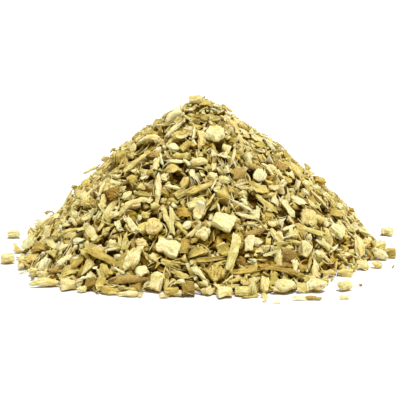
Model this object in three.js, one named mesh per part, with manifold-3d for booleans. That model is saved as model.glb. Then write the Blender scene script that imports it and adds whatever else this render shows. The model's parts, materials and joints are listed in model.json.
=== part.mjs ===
// A loose heap of dried marshmallow root, cut and sifted. The small chips that lock together are one
// solid mound. The larger chips that show on its slopes and at its foot are pieces of their own.
// Millimetres, +Z up. The heap rests on the plane z = 0, and its front faces -Y.
import * as THREE from "three";
import { mergeVertices } from "three/addons/utils/BufferGeometryUtils.js";
import Module from "manifold-3d";

const wasm = await Module();
wasm.setup();

// Driving dimensions of the heap
const HEAP_HEIGHT = 55;
const FOOT_RADIUS = 64.5; // mean, from the axis to where the slope meets the table
const FOOT_BULGES = [ // evenly spaced round the foot, each set with one bulge towards an angle
  { count: 1, size: 0.6, towards: -85 },
  { count: 2, size: 1.4, towards: 38 },
  { count: 3, size: 1.4, towards: -11 },
  { count: 4, size: 0.9, towards: 36 },
  { count: 5, size: 1.2, towards: 10 },
  { count: 6, size: 1.2, towards: -9 },
];
const STRAIGHT_SHARE = 0.64; // of the fall, even all the way down; the rest steepens the foot
const STEEPENING_POWER = 2.2;

// The packed core: knobs as wide as a small chip, with their tips at the heap's outer form
const KNOBS_ACROSS = 22;
const KNOB_RELIEF = 2.4;
const KNOB_SHIFT = 1.1; // sideways, so that the knobs make no rows
const RIM_HEIGHT = 0.6;

// The larger of the fused chips, which stand out of the core
const FUSED_CHIPS = 104;
const FUSED_LENGTH = [6, 11];
const FUSED_WIDTH = [0.42, 0.8]; // shares of the length
const FUSED_THICKNESS = [0.45, 0.8]; // shares of the width
const FUSED_TILT = 0.55; // radians, the most that a chip stands off the slope
const FUSED_SINK = 0.1; // share of the thickness that the middle stands above the knobs
const FUSED_REACH = 0.98; // share of the foot's radius

// How the larger chips sit
const GAP = 0.35; // between a chip and the socket that it lies in
const CHIP_LIFT = 0.22; // share of the thickness that a chip's middle stands proud of the slope
const CLEAR_AROUND = 0.42; // share of a large chip's length kept free of fused chips
const RAISE_STEP = 0.3;

const MOUND_SEED = 7;
const CHIP_SEED = 100;

// Where the photograph was taken from. Its pixels only say where a chip lies; sizes are real.
const EYE_DISTANCE = 500;
const EYE_ELEVATION = THREE.MathUtils.degToRad(15);
const MM_PER_PIXEL = 0.37; // at the heap's axis
const AXIS_FOOT_PIXEL = [198, 245]; // where the axis meets the table

const COLOURS = { pith: 0xefdc9f, wood: 0xd2b56f, bark: 0xa9783c, mound: 0xdcc384 };
const ROUGHNESS = 0.9;

const materials = Object.fromEntries(
  Object.entries(COLOURS).map(([name, color]) => [
    name,
    new THREE.MeshStandardMaterial({ name, color, roughness: ROUGHNESS, metalness: 0 }),
  ]),
);

// A repeatable random number from 0 to 1 at each call
function randomFrom(seed) {
  let state = seed;
  return () => {
    state = (state + 0x6d2b79f5) | 0;
    let t = Math.imul(state ^ (state >>> 15), 1 | state);
    t = (t + Math.imul(t ^ (t >>> 7), 61 | t)) ^ t;
    return ((t ^ (t >>> 14)) >>> 0) / 4294967296;
  };
}

const between = (random, [low, high]) => low + (high - low) * random();
const spread = (random, most) => (2 * random() - 1) * most;

// Solids and meshes
function bare(geometry) {
  const copy = geometry.clone();
  copy.deleteAttribute("normal");
  copy.deleteAttribute("uv");
  return mergeVertices(copy, 1e-4);
}

function solidOf(geometry, matrix = new THREE.Matrix4()) {
  const placed = bare(geometry).applyMatrix4(matrix);
  return new wasm.Manifold(
    new wasm.Mesh({
      numProp: 3,
      vertProperties: placed.attributes.position.array,
      triVerts: new Uint32Array(placed.index.array),
    }),
  );
}

function geometryOf(solid) {
  const { numProp, numVert, vertProperties, triVerts } = solid.getMesh();
  const position = new Float32Array(numVert * 3);
  for (let i = 0; i < numVert; i++) {
    position.set(vertProperties.subarray(i * numProp, i * numProp + 3), i * 3);
  }
  const geometry = new THREE.BufferGeometry();
  geometry.setAttribute("position", new THREE.BufferAttribute(position, 3));
  geometry.setIndex(new THREE.BufferAttribute(triVerts, 1));
  geometry.computeVertexNormals();
  return geometry;
}

// Booleans between many chips leave loose crumbs and sealed pockets: the largest outside skin is kept.
function largest(solid) {
  const bodies = solid.decompose();
  return bodies.reduce((best, body) => (body.volume() > best.volume() ? body : best));
}

// Moves each vertex of a closed geometry once, so that it stays closed
function reshaped(geometry, move) {
  const result = bare(geometry);
  const position = result.attributes.position;
  const point = new THREE.Vector3();
  for (let i = 0; i < position.count; i++) {
    point.fromBufferAttribute(position, i);
    move(point);
    position.setXYZ(i, point.x, point.y, point.z);
  }
  return result;
}

// The heap's outer form, which its chips' tips reach
function footRadius(angle) {
  return FOOT_BULGES.reduce((radius, { count, size, towards }) => {
    const away = angle - THREE.MathUtils.degToRad(towards);
    return radius + size * Math.cos(count * away);
  }, FOOT_RADIUS);
}

function heightShare(t) {
  return 1 - STRAIGHT_SHARE * t - (1 - STRAIGHT_SHARE) * t ** STEEPENING_POWER;
}

function surfaceHeight(x, y) {
  const t = Math.hypot(x, y) / footRadius(Math.atan2(y, x));
  return t < 1 ? HEAP_HEIGHT * heightShare(t) : 0;
}

function surfaceNormal(x, y) {
  const step = 1.5;
  const fallX = surfaceHeight(x - step, y) - surfaceHeight(x + step, y);
  const fallY = surfaceHeight(x, y - step) - surfaceHeight(x, y + step);
  return new THREE.Vector3(fallX, fallY, 2 * step).normalize();
}

// A square grid drawn round into the foot's outline, flat below and knobbly above
function coreGeometry(random) {
  const grid = new THREE.BoxGeometry(2, 2, 1, KNOBS_ACROSS, KNOBS_ACROSS, 1);
  return reshaped(grid, (p) => {
    const above = p.z > 0;
    const inside = Math.max(Math.abs(p.x), Math.abs(p.y)) < 1 - 1e-6;
    const shift = above && inside ? KNOB_SHIFT : 0;
    const round = new THREE.Vector2(
      p.x * Math.sqrt(1 - (p.y * p.y) / 2),
      p.y * Math.sqrt(1 - (p.x * p.x) / 2),
    );
    round.multiplyScalar(footRadius(round.angle()) - KNOB_RELIEF / 2);
    p.x = round.x + spread(random, shift);
    p.y = round.y + spread(random, shift);
    p.z = above ? Math.max(surfaceHeight(p.x, p.y) - KNOB_RELIEF * random(), RIM_HEIGHT) : 0;
  });
}

// Chip forms. Each lies along X, with its width along Y and its thickness along Z.
function broken(geometry, [length, width, thickness], rough, random) {
  return reshaped(geometry, (p) => {
    p.x += spread(random, rough * 0.5);
    p.y += spread(random, rough);
    p.z += spread(random, rough);
    p.multiply(new THREE.Vector3(length, width, thickness));
  });
}

function block(size, random) {
  const rough = 0.17;
  return broken(new THREE.BoxGeometry(1, 1, 1), size, rough, random);
}

// A prism along X whose length and thickness are 1
function prismOf(sides, steps) {
  return new THREE.CylinderGeometry(0.5, 0.5, 1, sides, steps).rotateZ(Math.PI / 2);
}

function chunk(size, random) {
  const belly = 0.16;
  const rough = 0.09;
  const bellied = reshaped(prismOf(6, 2), (p) => {
    const swell = 1 + belly * (1 - 4 * p.x * p.x);
    p.y *= swell;
    p.z *= swell;
  });
  return broken(bellied, size, rough, random);
}

function stick(size, random, bow = 0.25) {
  const slant = 0.12; // of the split ends
  const rough = 0.07;
  const thinning = between(random, [0.15, 0.5]);
  const bent = reshaped(prismOf(5, 4), (p) => {
    const taper = 1 - thinning * (p.x + 0.5);
    p.y *= taper;
    p.z = p.z * taper + bow * (0.5 - 4 * p.x * p.x);
    p.x += slant * p.y;
  });
  return broken(bent, size, rough, random);
}

function arch(size, random) {
  const bow = 1.5;
  return stick(size, random, bow);
}

function flake(size, random) {
  const corners = 7;
  const cup = 0.9;
  const rough = 0.03;
  const outline = new THREE.Shape();
  for (let i = 0; i < corners; i++) {
    const angle = (2 * Math.PI * i) / corners;
    const reach = between(random, [0.42, 0.56]);
    outline[i ? "lineTo" : "moveTo"](reach * Math.cos(angle), reach * Math.sin(angle));
  }
  const sheet = new THREE.ExtrudeGeometry(outline, { depth: 1, steps: 1, bevelEnabled: false });
  sheet.translate(0, 0, -0.5);
  const cupped = reshaped(sheet, (p) => (p.z += cup * (p.y * p.y + p.x * p.x / 2)));
  return broken(cupped, size, rough, random);
}

// A wedge cut across the root, with the bark side round
function slice(size, random) {
  const half = between(random, [0.25, 0.31]) * Math.PI; // angle from the middle line to a side
  const tip = -0.5;
  const rough = 0.025;
  const outline = new THREE.Shape();
  outline.moveTo(0, tip);
  outline.lineTo(Math.sin(half), tip + Math.cos(half));
  outline.absarc(0, tip, 1, Math.PI / 2 - half, Math.PI / 2 + half, false);
  const settings = { depth: 1, steps: 1, bevelEnabled: false, curveSegments: 4 };
  const wedge = new THREE.ExtrudeGeometry(outline, settings).translate(0, 0, -0.5);
  wedge.scale(0.5 / Math.sin(half), 1, 1);
  return broken(wedge, size, rough, random);
}

// A strip of bark that dried into an open tube
function curl(size, random) {
  const gap = 0.9; // radians
  const inner = 0.31;
  const rough = 0.02;
  const outline = new THREE.Shape();
  outline.absarc(0, 0, 0.5, gap / 2, 2 * Math.PI - gap / 2, false);
  outline.absarc(0, 0, inner, 2 * Math.PI - gap / 2, gap / 2, true);
  const settings = { depth: 1, steps: 2, bevelEnabled: false, curveSegments: 9 };
  const tube = new THREE.ExtrudeGeometry(outline, settings).translate(0, 0, -0.5);
  return broken(tube.rotateY(Math.PI / 2), size, rough, random);
}

// A split stick whose two arms still hold together at one end
function fork([length, width, thickness], random) {
  const halfAngle = 0.17;
  const root = length * 0.42; // from the middle to where the arms meet
  const arm = [length, width * 0.42, thickness];
  const turned = (angle) => {
    const place = new THREE.Matrix4().makeTranslation(-root, 0, 0);
    place.multiply(new THREE.Matrix4().makeRotationZ(angle));
    place.multiply(new THREE.Matrix4().makeTranslation(root, 0, 0));
    return solidOf(stick(arm, random), place);
  };
  return geometryOf(largest(turned(halfAngle).add(turned(-halfAngle))));
}

// A knot of short fibres, as broad as it is long
function lump(size, random) {
  const rough = 0.055;
  return broken(new THREE.IcosahedronGeometry(0.52, 1), size, rough, random);
}

const FORMS = { block, chunk, stick, arch, flake, slice, curl, fork, lump };

// The larger chips that the photograph shows, from the foot of the heap to its top.
// at: pixel of the chip's middle; size: length, width and thickness in millimetres;
// turn: degrees from the picture's right, anticlockwise; of: what it is made of, if not pith.
const CHIPS = [
  { name: "long_chip_front_left", form: "stick", at: [45, 283], size: [9.4, 3.2, 2.8], turn: 12 },
  { name: "block_front_left", form: "chunk", at: [68, 285], size: [4.6, 3.6, 3.3], turn: 10 },
  { name: "bark_block_front", form: "block", of: "bark", at: [91, 286], size: [3.2, 2.8, 2.8], turn: 4 },
  { name: "flat_chip_front", form: "flake", at: [131, 294], size: [8.2, 3.6, 1.6], turn: -10 },
  { name: "bright_cube_front", form: "chunk", at: [142, 272], size: [3.9, 3.6, 3.2], turn: 25 },
  { name: "block_front", form: "chunk", at: [157, 282], size: [6.2, 3.7, 3.1], turn: 75 },
  { name: "fibrous_block_front", form: "block", of: "wood", at: [171, 292], size: [4.5, 3.3, 2.7], turn: 2 },
  { name: "bark_curl_front", form: "curl", of: "bark", at: [188, 290], size: [3.8, 4.2, 4.0], turn: 20 },
  { name: "bright_stick_front", form: "stick", at: [201, 276], size: [7.2, 2.4, 2.2], turn: -50 },
  { name: "root_wedge_front", form: "slice", of: "wood", at: [216, 275], size: [7.2, 6.2, 2.7], turn: -10 },
  { name: "long_stick_front", form: "stick", at: [233, 254], size: [12.2, 3.4, 2.5], turn: 76 },
  { name: "chunk_front", form: "chunk", at: [225, 292], size: [4.8, 4.2, 3.5], turn: 40 },
  { name: "tilted_block_front", form: "block", at: [243, 291], size: [4.9, 3.6, 3.2], turn: -34 },
  { name: "small_block_front", form: "block", at: [264, 287], size: [4.7, 2.7, 2.7], turn: 86 },
  { name: "large_chunk_front", form: "lump", at: [285, 286], size: [7.0, 6.0, 4.8], turn: 30 },
  { name: "round_chunk_front_right", form: "chunk", at: [316, 286], size: [5.6, 5.0, 3.9] },
  { name: "bark_strip_front", form: "arch", of: "bark", at: [285, 272], size: [17, 2.8, 1.5], turn: -8 },
  { name: "loose_chunk_right", form: "chunk", at: [344, 286], size: [4.6, 3.6, 3.2], turn: 70 },
  { name: "loose_bark_splinter", form: "stick", of: "bark", at: [313, 298], size: [5.0, 1.6, 1.3] },
  { name: "flat_chip_right", form: "block", at: [344, 273], size: [4.9, 2.5, 2.1], turn: 2 },
  { name: "upright_chunk_right", form: "chunk", at: [358, 248], size: [6.6, 3.6, 2.9], turn: 85 },
  { name: "outer_stick_right", form: "stick", at: [380, 245], size: [6.4, 3.0, 2.6], turn: 80 },
  { name: "loose_round_chunk_right", form: "chunk", at: [387, 231], size: [4.6, 4.0, 3.4] },
  { name: "outer_chunk_right", form: "block", of: "wood", at: [388, 253], size: [5.0, 3.8, 3.0], turn: 15 },
  { name: "loose_chunk_far_left", form: "chunk", at: [14, 234], size: [4.4, 3.4, 3.0], turn: 5 },
  { name: "loose_chunk_left", form: "chunk", at: [8, 259], size: [4.4, 3.6, 3.2], turn: 20 },
  { name: "bright_block_left", form: "block", at: [46, 265], size: [4.9, 3.8, 2.4], turn: 72 },
  { name: "oval_flake_left", form: "flake", of: "wood", at: [77, 264], size: [7.2, 3.7, 1.3], turn: 34 },
  { name: "long_stick_left", form: "stick", of: "wood", at: [103, 257], size: [12.5, 3.0, 2.2], turn: -33 },
  { name: "knuckle_chunk", form: "chunk", at: [134, 258], size: [8.8, 3.5, 3.0], turn: 62 },
  { name: "broad_bright_chunk", form: "chunk", at: [168, 248], size: [7.8, 5.4, 2.8], turn: -25 },
  { name: "bright_flake", form: "flake", at: [187, 225], size: [4.2, 3.0, 1.3], turn: 20 },
  { name: "split_stick", form: "fork", at: [170, 221], size: [9.4, 4.6, 1.9], turn: 100 },
  { name: "fibrous_lump", form: "lump", of: "wood", at: [154, 227], size: [6.2, 5.2, 4.2], turn: 80 },
  { name: "large_bright_chunk", form: "block", at: [223, 223], size: [7.0, 5.4, 4.2], turn: -28 },
  { name: "round_chunk", form: "chunk", at: [204, 234], size: [4.4, 4.1, 3.6], turn: 60 },
  { name: "upright_bright_chunk", form: "chunk", at: [249, 243], size: [5.5, 3.0, 2.8], turn: 84 },
  { name: "bright_chunk_right", form: "chunk", at: [336, 232], size: [5.7, 4.7, 3.4], turn: -35 },
  { name: "chunk_right", form: "block", at: [303, 250], size: [5.2, 3.9, 3.0], turn: 72 },
  { name: "long_chip_left", form: "stick", at: [49, 221], size: [7.8, 2.9, 2.2], turn: 13 },
  { name: "root_disc_left", form: "slice", of: "wood", at: [89, 204], size: [4.6, 4.6, 2.8], turn: 30 },
  { name: "bent_stick_left", form: "arch", at: [134, 205], size: [11, 2.8, 2.4], turn: 25 },
  { name: "brown_lump", form: "lump", of: "bark", at: [114, 195], size: [5.4, 4.6, 3.8], turn: 70 },
  { name: "long_stick_upper_left", form: "stick", at: [138, 162], size: [12, 2.2, 2.0], turn: 42 },
  { name: "bent_stick_upper_left", form: "arch", at: [153, 141], size: [9.6, 3.0, 2.4], turn: -24 },
  { name: "root_wedge_upper_left", form: "slice", of: "wood", at: [121, 158], size: [7.8, 4.4, 2.8] },
  { name: "bright_flake_upper", form: "flake", at: [175, 148], size: [5.2, 2.9, 1.4], turn: -20 },
  { name: "pale_lump_upper", form: "lump", at: [213, 136], size: [7.8, 6.0, 4.6], turn: 20 },
  { name: "bright_stick_upper_right", form: "stick", at: [268, 170], size: [5.9, 1.8, 1.6], turn: -55 },
  { name: "bright_chunk_upper_right", form: "chunk", at: [258, 177], size: [4.5, 4.0, 3.4], turn: 60 },
  { name: "pale_flake_upper_right", form: "flake", at: [294, 170], size: [7.4, 3.9, 1.4], turn: -62 },
  { name: "bright_chip_summit", form: "block", at: [174, 117], size: [6.4, 3.3, 2.8], turn: 46 },
  { name: "summit_chunk", form: "chunk", at: [196, 100], size: [4.4, 3.4, 2.7], turn: 5 },
];

// Large chips on the side that the photograph doesn't show: degrees round the axis, share of the foot
const HIDDEN_CHIPS = [
  { name: "chunk_back", form: "chunk", round: 78, out: 0.62, size: [6.4, 4.4, 3.6], turn: 30 },
  { name: "stick_back", form: "stick", of: "wood", round: 112, out: 0.74, size: [12, 3.0, 2.3], turn: 70 },
  { name: "strip_back", form: "arch", of: "bark", round: 55, out: 0.82, size: [14, 2.6, 1.6], turn: -15 },
  { name: "wedge_back", form: "slice", of: "wood", round: 135, out: 0.5, size: [7.4, 6.4, 3.0], turn: 10 },
  { name: "loose_chunk_back", form: "chunk", round: 97, out: 1.1, size: [4.6, 3.8, 3.2], turn: 50 },
];

const eye = new THREE.Vector3(
  0,
  -EYE_DISTANCE * Math.cos(EYE_ELEVATION),
  EYE_DISTANCE * Math.sin(EYE_ELEVATION),
);
const PICTURE_RIGHT = new THREE.Vector3(1, 0, 0);
const PICTURE_UP = new THREE.Vector3(0, Math.sin(EYE_ELEVATION), Math.cos(EYE_ELEVATION));

// Where the line of sight through a pixel meets the heap, or the height that is asked for
function whereSeen([column, row], height) {
  const target = new THREE.Vector3()
    .addScaledVector(PICTURE_RIGHT, (column - AXIS_FOOT_PIXEL[0]) * MM_PER_PIXEL)
    .addScaledVector(PICTURE_UP, (AXIS_FOOT_PIXEL[1] - row) * MM_PER_PIXEL);
  const sight = target.sub(eye).normalize();
  const point = new THREE.Vector3();
  const nearest = EYE_DISTANCE - 1.5 * FOOT_RADIUS;
  const farthest = EYE_DISTANCE + 1.5 * FOOT_RADIUS;
  for (let along = nearest; along < farthest; along += 0.2) {
    point.copy(eye).addScaledVector(sight, along);
    if (point.z <= Math.max(surfaceHeight(point.x, point.y), height)) {
      break;
    }
  }
  return { point, sight };
}

// The place and the line of sight of a chip: from its pixel, or from the back of the heap
function sightOf(chip) {
  if (chip.at) {
    return whereSeen(chip.at, chip.size[2] / 2);
  }
  const angle = THREE.MathUtils.degToRad(chip.round);
  const radius = chip.out * footRadius(angle);
  const point = new THREE.Vector3(radius * Math.cos(angle), radius * Math.sin(angle), 0);
  point.z = Math.max(surfaceHeight(point.x, point.y), chip.size[2] / 2);
  return { point, sight: new THREE.Vector3(-Math.cos(angle), -Math.sin(angle), -0.3).normalize() };
}

// A chip lies halfway between flat on the slope and square to the line of sight,
// or flat on the table where it lies beyond the foot
function placeOf(chip) {
  const { point, sight } = sightOf(chip);
  const loose = surfaceHeight(point.x, point.y) < chip.size[2] / 2;
  const normal = loose ? new THREE.Vector3(0, 0, 1) : surfaceNormal(point.x, point.y);
  const right = new THREE.Vector3().crossVectors(sight, new THREE.Vector3(0, 0, 1)).normalize();
  const up = new THREE.Vector3().crossVectors(right, sight);
  const turn = THREE.MathUtils.degToRad(chip.turn ?? 0);
  const inPicture = right.multiplyScalar(Math.cos(turn)).addScaledVector(up, Math.sin(turn));
  const onSlope = inPicture.clone().addScaledVector(normal, -inPicture.dot(normal)).normalize();
  const along = loose ? onSlope : onSlope.add(inPicture).normalize();
  const across = new THREE.Vector3().crossVectors(normal, along).normalize();
  const out = new THREE.Vector3().crossVectors(along, across);
  const place = new THREE.Matrix4().makeBasis(along, across, out);
  const lift = loose ? 0 : CHIP_LIFT * chip.size[2];
  return { loose, matrix: place.setPosition(point.addScaledVector(normal, lift)) };
}

function lowestPoint(geometry, matrix) {
  return bare(geometry).applyMatrix4(matrix).attributes.position.array.reduce(
    (low, value, i) => (i % 3 === 2 ? Math.min(low, value) : low),
    Infinity,
  );
}

// The chip's own box, larger by the gap on every side
function grownBox(geometry) {
  geometry.computeBoundingBox();
  return geometry.boundingBox.clone().expandByScalar(GAP);
}

// The hollow that the chip lies in
function socketOf(geometry, matrix) {
  const box = grownBox(geometry);
  const size = box.getSize(new THREE.Vector3());
  const middle = box.getCenter(new THREE.Vector3());
  return solidOf(new THREE.BoxGeometry(...size).translate(...middle), matrix);
}

// The chip's own form stretched to its grown box, which other chips stay out of
function roomOf(geometry, matrix) {
  const grown = grownBox(geometry).getSize(new THREE.Vector3());
  const { x, y, z } = geometry.boundingBox.getSize(new THREE.Vector3());
  const middle = geometry.boundingBox.getCenter(new THREE.Vector3());
  const stretched = geometry.clone().translate(-middle.x, -middle.y, -middle.z);
  stretched.scale(grown.x / x, grown.y / y, grown.z / z).translate(...middle);
  return solidOf(stretched, matrix);
}

function overlaps(a, b) {
  return a.intersect(b).volume() > 0;
}

// Places one large chip, raising it until it is clear of those that are already there
function makeChip(chip, index, taken) {
  const random = randomFrom(CHIP_SEED + index);
  const geometry = FORMS[chip.form](chip.size, random);
  const { loose, matrix } = placeOf(chip);
  const raise = (by) => matrix.premultiply(new THREE.Matrix4().makeTranslation(0, 0, by));
  const low = lowestPoint(geometry, matrix);
  if (loose || low < 0) {
    raise(-low);
  }
  while (taken.some((other) => overlaps(other.room, solidOf(geometry, matrix)))) {
    raise(RAISE_STEP);
  }
  const mesh = new THREE.Mesh(geometry, materials[chip.of ?? "pith"]);
  mesh.name = chip.name;
  matrix.decompose(mesh.position, mesh.quaternion, mesh.scale);
  geometry.computeVertexNormals();
  return {
    mesh,
    room: roomOf(geometry, matrix),
    socket: socketOf(geometry, matrix),
    reach: chip.size[0] * CLEAR_AROUND,
  };
}

// A small chip of the mound, at the next turn of a spiral that covers the slope evenly
function fusedChip(index, random) {
  const goldenAngle = Math.PI * (3 - Math.sqrt(5));
  const angle = index * goldenAngle;
  const out = Math.sqrt((index + 0.5) / FUSED_CHIPS) * footRadius(angle) * FUSED_REACH;
  const [x, y] = [out * Math.cos(angle), out * Math.sin(angle)];
  const length = between(random, FUSED_LENGTH);
  const width = length * between(random, FUSED_WIDTH);
  const thickness = width * between(random, FUSED_THICKNESS);
  const lean = new THREE.Vector3(spread(random, FUSED_TILT), spread(random, FUSED_TILT), 0);
  const normal = surfaceNormal(x, y).add(lean).normalize();
  const turn = new THREE.Quaternion().setFromUnitVectors(new THREE.Vector3(0, 0, 1), normal);
  turn.multiply(new THREE.Quaternion().setFromAxisAngle(new THREE.Vector3(0, 0, 1), random() * Math.PI));
  const depth = KNOB_RELIEF / 2 - thickness * FUSED_SINK;
  const centre = new THREE.Vector3(x, y, surfaceHeight(x, y)).addScaledVector(surfaceNormal(x, y), -depth);
  const matrix = new THREE.Matrix4().compose(centre, turn, new THREE.Vector3(1, 1, 1));
  return { centre, solid: solidOf(block([length, width, thickness], random), matrix) };
}

function makeMound(chips) {
  const random = randomFrom(MOUND_SEED);
  let mound = solidOf(coreGeometry(random));
  for (let i = 0; i < FUSED_CHIPS; i++) {
    const { centre, solid } = fusedChip(i, random);
    const covers = chips.some(({ mesh, reach }) => mesh.position.distanceTo(centre) < reach);
    if (!covers) {
      mound = mound.add(solid);
    }
  }
  const under = new THREE.BoxGeometry(4 * FOOT_RADIUS, 4 * FOOT_RADIUS, HEAP_HEIGHT);
  mound = mound.subtract(solidOf(under.translate(0, 0, -HEAP_HEIGHT / 2)));
  for (const { socket } of chips) {
    mound = mound.subtract(socket);
  }
  const mesh = new THREE.Mesh(geometryOf(largest(mound)), materials.mound);
  mesh.name = "mound_of_chips";
  return mesh;
}

const chips = [];
[...CHIPS, ...HIDDEN_CHIPS].forEach((chip, index) => chips.push(makeChip(chip, index, chips)));

const heap = new THREE.Group();
heap.add(makeMound(chips), ...chips.map(({ mesh }) => mesh));

// The origin is the middle of the footprint, on the table
const box = new THREE.Box3().setFromObject(heap, true);
const middle = box.getCenter(new THREE.Vector3());
heap.position.set(-middle.x, -middle.y, 0);

export default heap;
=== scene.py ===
import json
import math
from collections import namedtuple
from itertools import product

import bmesh
import bpy
import numpy as np
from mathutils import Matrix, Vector
from mathutils.bvhtree import BVHTree


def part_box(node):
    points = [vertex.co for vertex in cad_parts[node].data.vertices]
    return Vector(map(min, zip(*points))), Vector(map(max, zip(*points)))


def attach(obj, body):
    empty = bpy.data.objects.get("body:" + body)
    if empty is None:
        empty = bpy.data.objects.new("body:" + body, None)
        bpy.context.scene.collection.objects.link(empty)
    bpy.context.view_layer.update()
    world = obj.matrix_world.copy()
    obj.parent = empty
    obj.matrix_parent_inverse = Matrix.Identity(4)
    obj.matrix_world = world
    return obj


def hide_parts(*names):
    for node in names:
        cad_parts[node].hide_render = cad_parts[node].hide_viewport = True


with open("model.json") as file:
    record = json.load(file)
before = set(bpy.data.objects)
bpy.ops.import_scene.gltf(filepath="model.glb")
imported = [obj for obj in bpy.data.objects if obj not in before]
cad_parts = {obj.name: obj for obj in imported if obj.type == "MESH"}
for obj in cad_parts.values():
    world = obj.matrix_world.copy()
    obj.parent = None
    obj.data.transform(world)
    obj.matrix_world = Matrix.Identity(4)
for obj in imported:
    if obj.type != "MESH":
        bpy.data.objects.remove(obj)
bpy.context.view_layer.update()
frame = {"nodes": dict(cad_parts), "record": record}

# A heap of dried marshmallow root, cut and sifted. Thousands of small chips are dropped one by one
# round a hidden core, until they reach the outer form of the CAD mound. The CAD's larger chips get
# a finer surface where they lie. Lengths are in millimetres up to the making of each mesh.

MM = 0.001
MOUND = "mound_of_chips"
rng = np.random.default_rng(2916)

# The photograph's view
HEAP_AXIS = (-1.2, -2.0)  # where the heap's summit stands in the frame
EYE_DISTANCE = 500
EYE_ELEVATION = math.radians(15)
EYE_AIM = (0.7, 0, 17.2)
VIEW_WIDTH = 148
PICTURE_PIXELS = 400
SENSOR = 36

# The height maps that the chips are dropped on
CELL = 0.4
MARGIN = 14
FORM_BLUR = 3.2
SLOPE_BLUR = 1.5
EDGE_BLUR = 1.0
EDGE_SHARE = 0.1
CORE_DEPTH = 4.6
TIP_ALLOWANCE = 1.5
RIM_CHIP_HEIGHT = 4.0
RIM_FILL = 1.3
BURY_LIMIT = 0.45
RELIEF = 1.0
RELIEF_SPACING = 5.5

# How the chips fall: a packed layer of mixed chips, the looser ones that show, and small bits
UNDER_CHIPS = 2600
TOP_CHIPS = 2300
SMALL_BITS = 1400
FIBRE_COUNT = 420
ATTEMPTS_EACH = 3
CANDIDATE_CELLS = 12
TRIES = 3
WANDER = 0.8
LEAN = 1.1
FOOT_SCALE = 1.24  # larger chips roll further down
SUMMIT_SCALE = 1.0
FLANK_GROWTH = 0.25  # how much larger chips are on the left and right, where they are seen edge-on
SETTLE_SHARE = 0.92
HOLLOW_COST = 0.5
OVERSHOOT_COST = 2
OVERSHOOT_LIMIT = 0.5
SKIN_SAMPLES = 260

# Where a chip found no room, a few cells round it are less wanted from then on
TIRED_CELLS = 12
TIRED_REACH = 0.5
TIRED_STEP = 0.4

# Chips that rolled a little way past the foot
APRON_CHIPS = 130
APRON_EDGE = 3.5
APRON_SPREAD = 2.2
APRON_SCALE = 0.8
APRON_LEAN = 0.15
APRON_RISE = 1.0
APRON_KINDS = {"pith_chunk": 0.35, "pith_block": 0.15, "crumb": 0.3, "wood_flake": 0.1, "split_stick": 0.1}

# Fibres lie loosely over the chips, but not where they would show as hairs against the ground
FIBRE_LEAN = 0.5
FIBRE_RISE = 3.0
FIBRE_FLANK = 0.5

# Painted shade, darkened into the colour where light fades: deep in the heap, and in the crevices between
# chips
SHADE_DEPTH = 4.5
CREVICE_REACH = 1.1
CREVICE_DEPTH = 2.0

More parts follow.
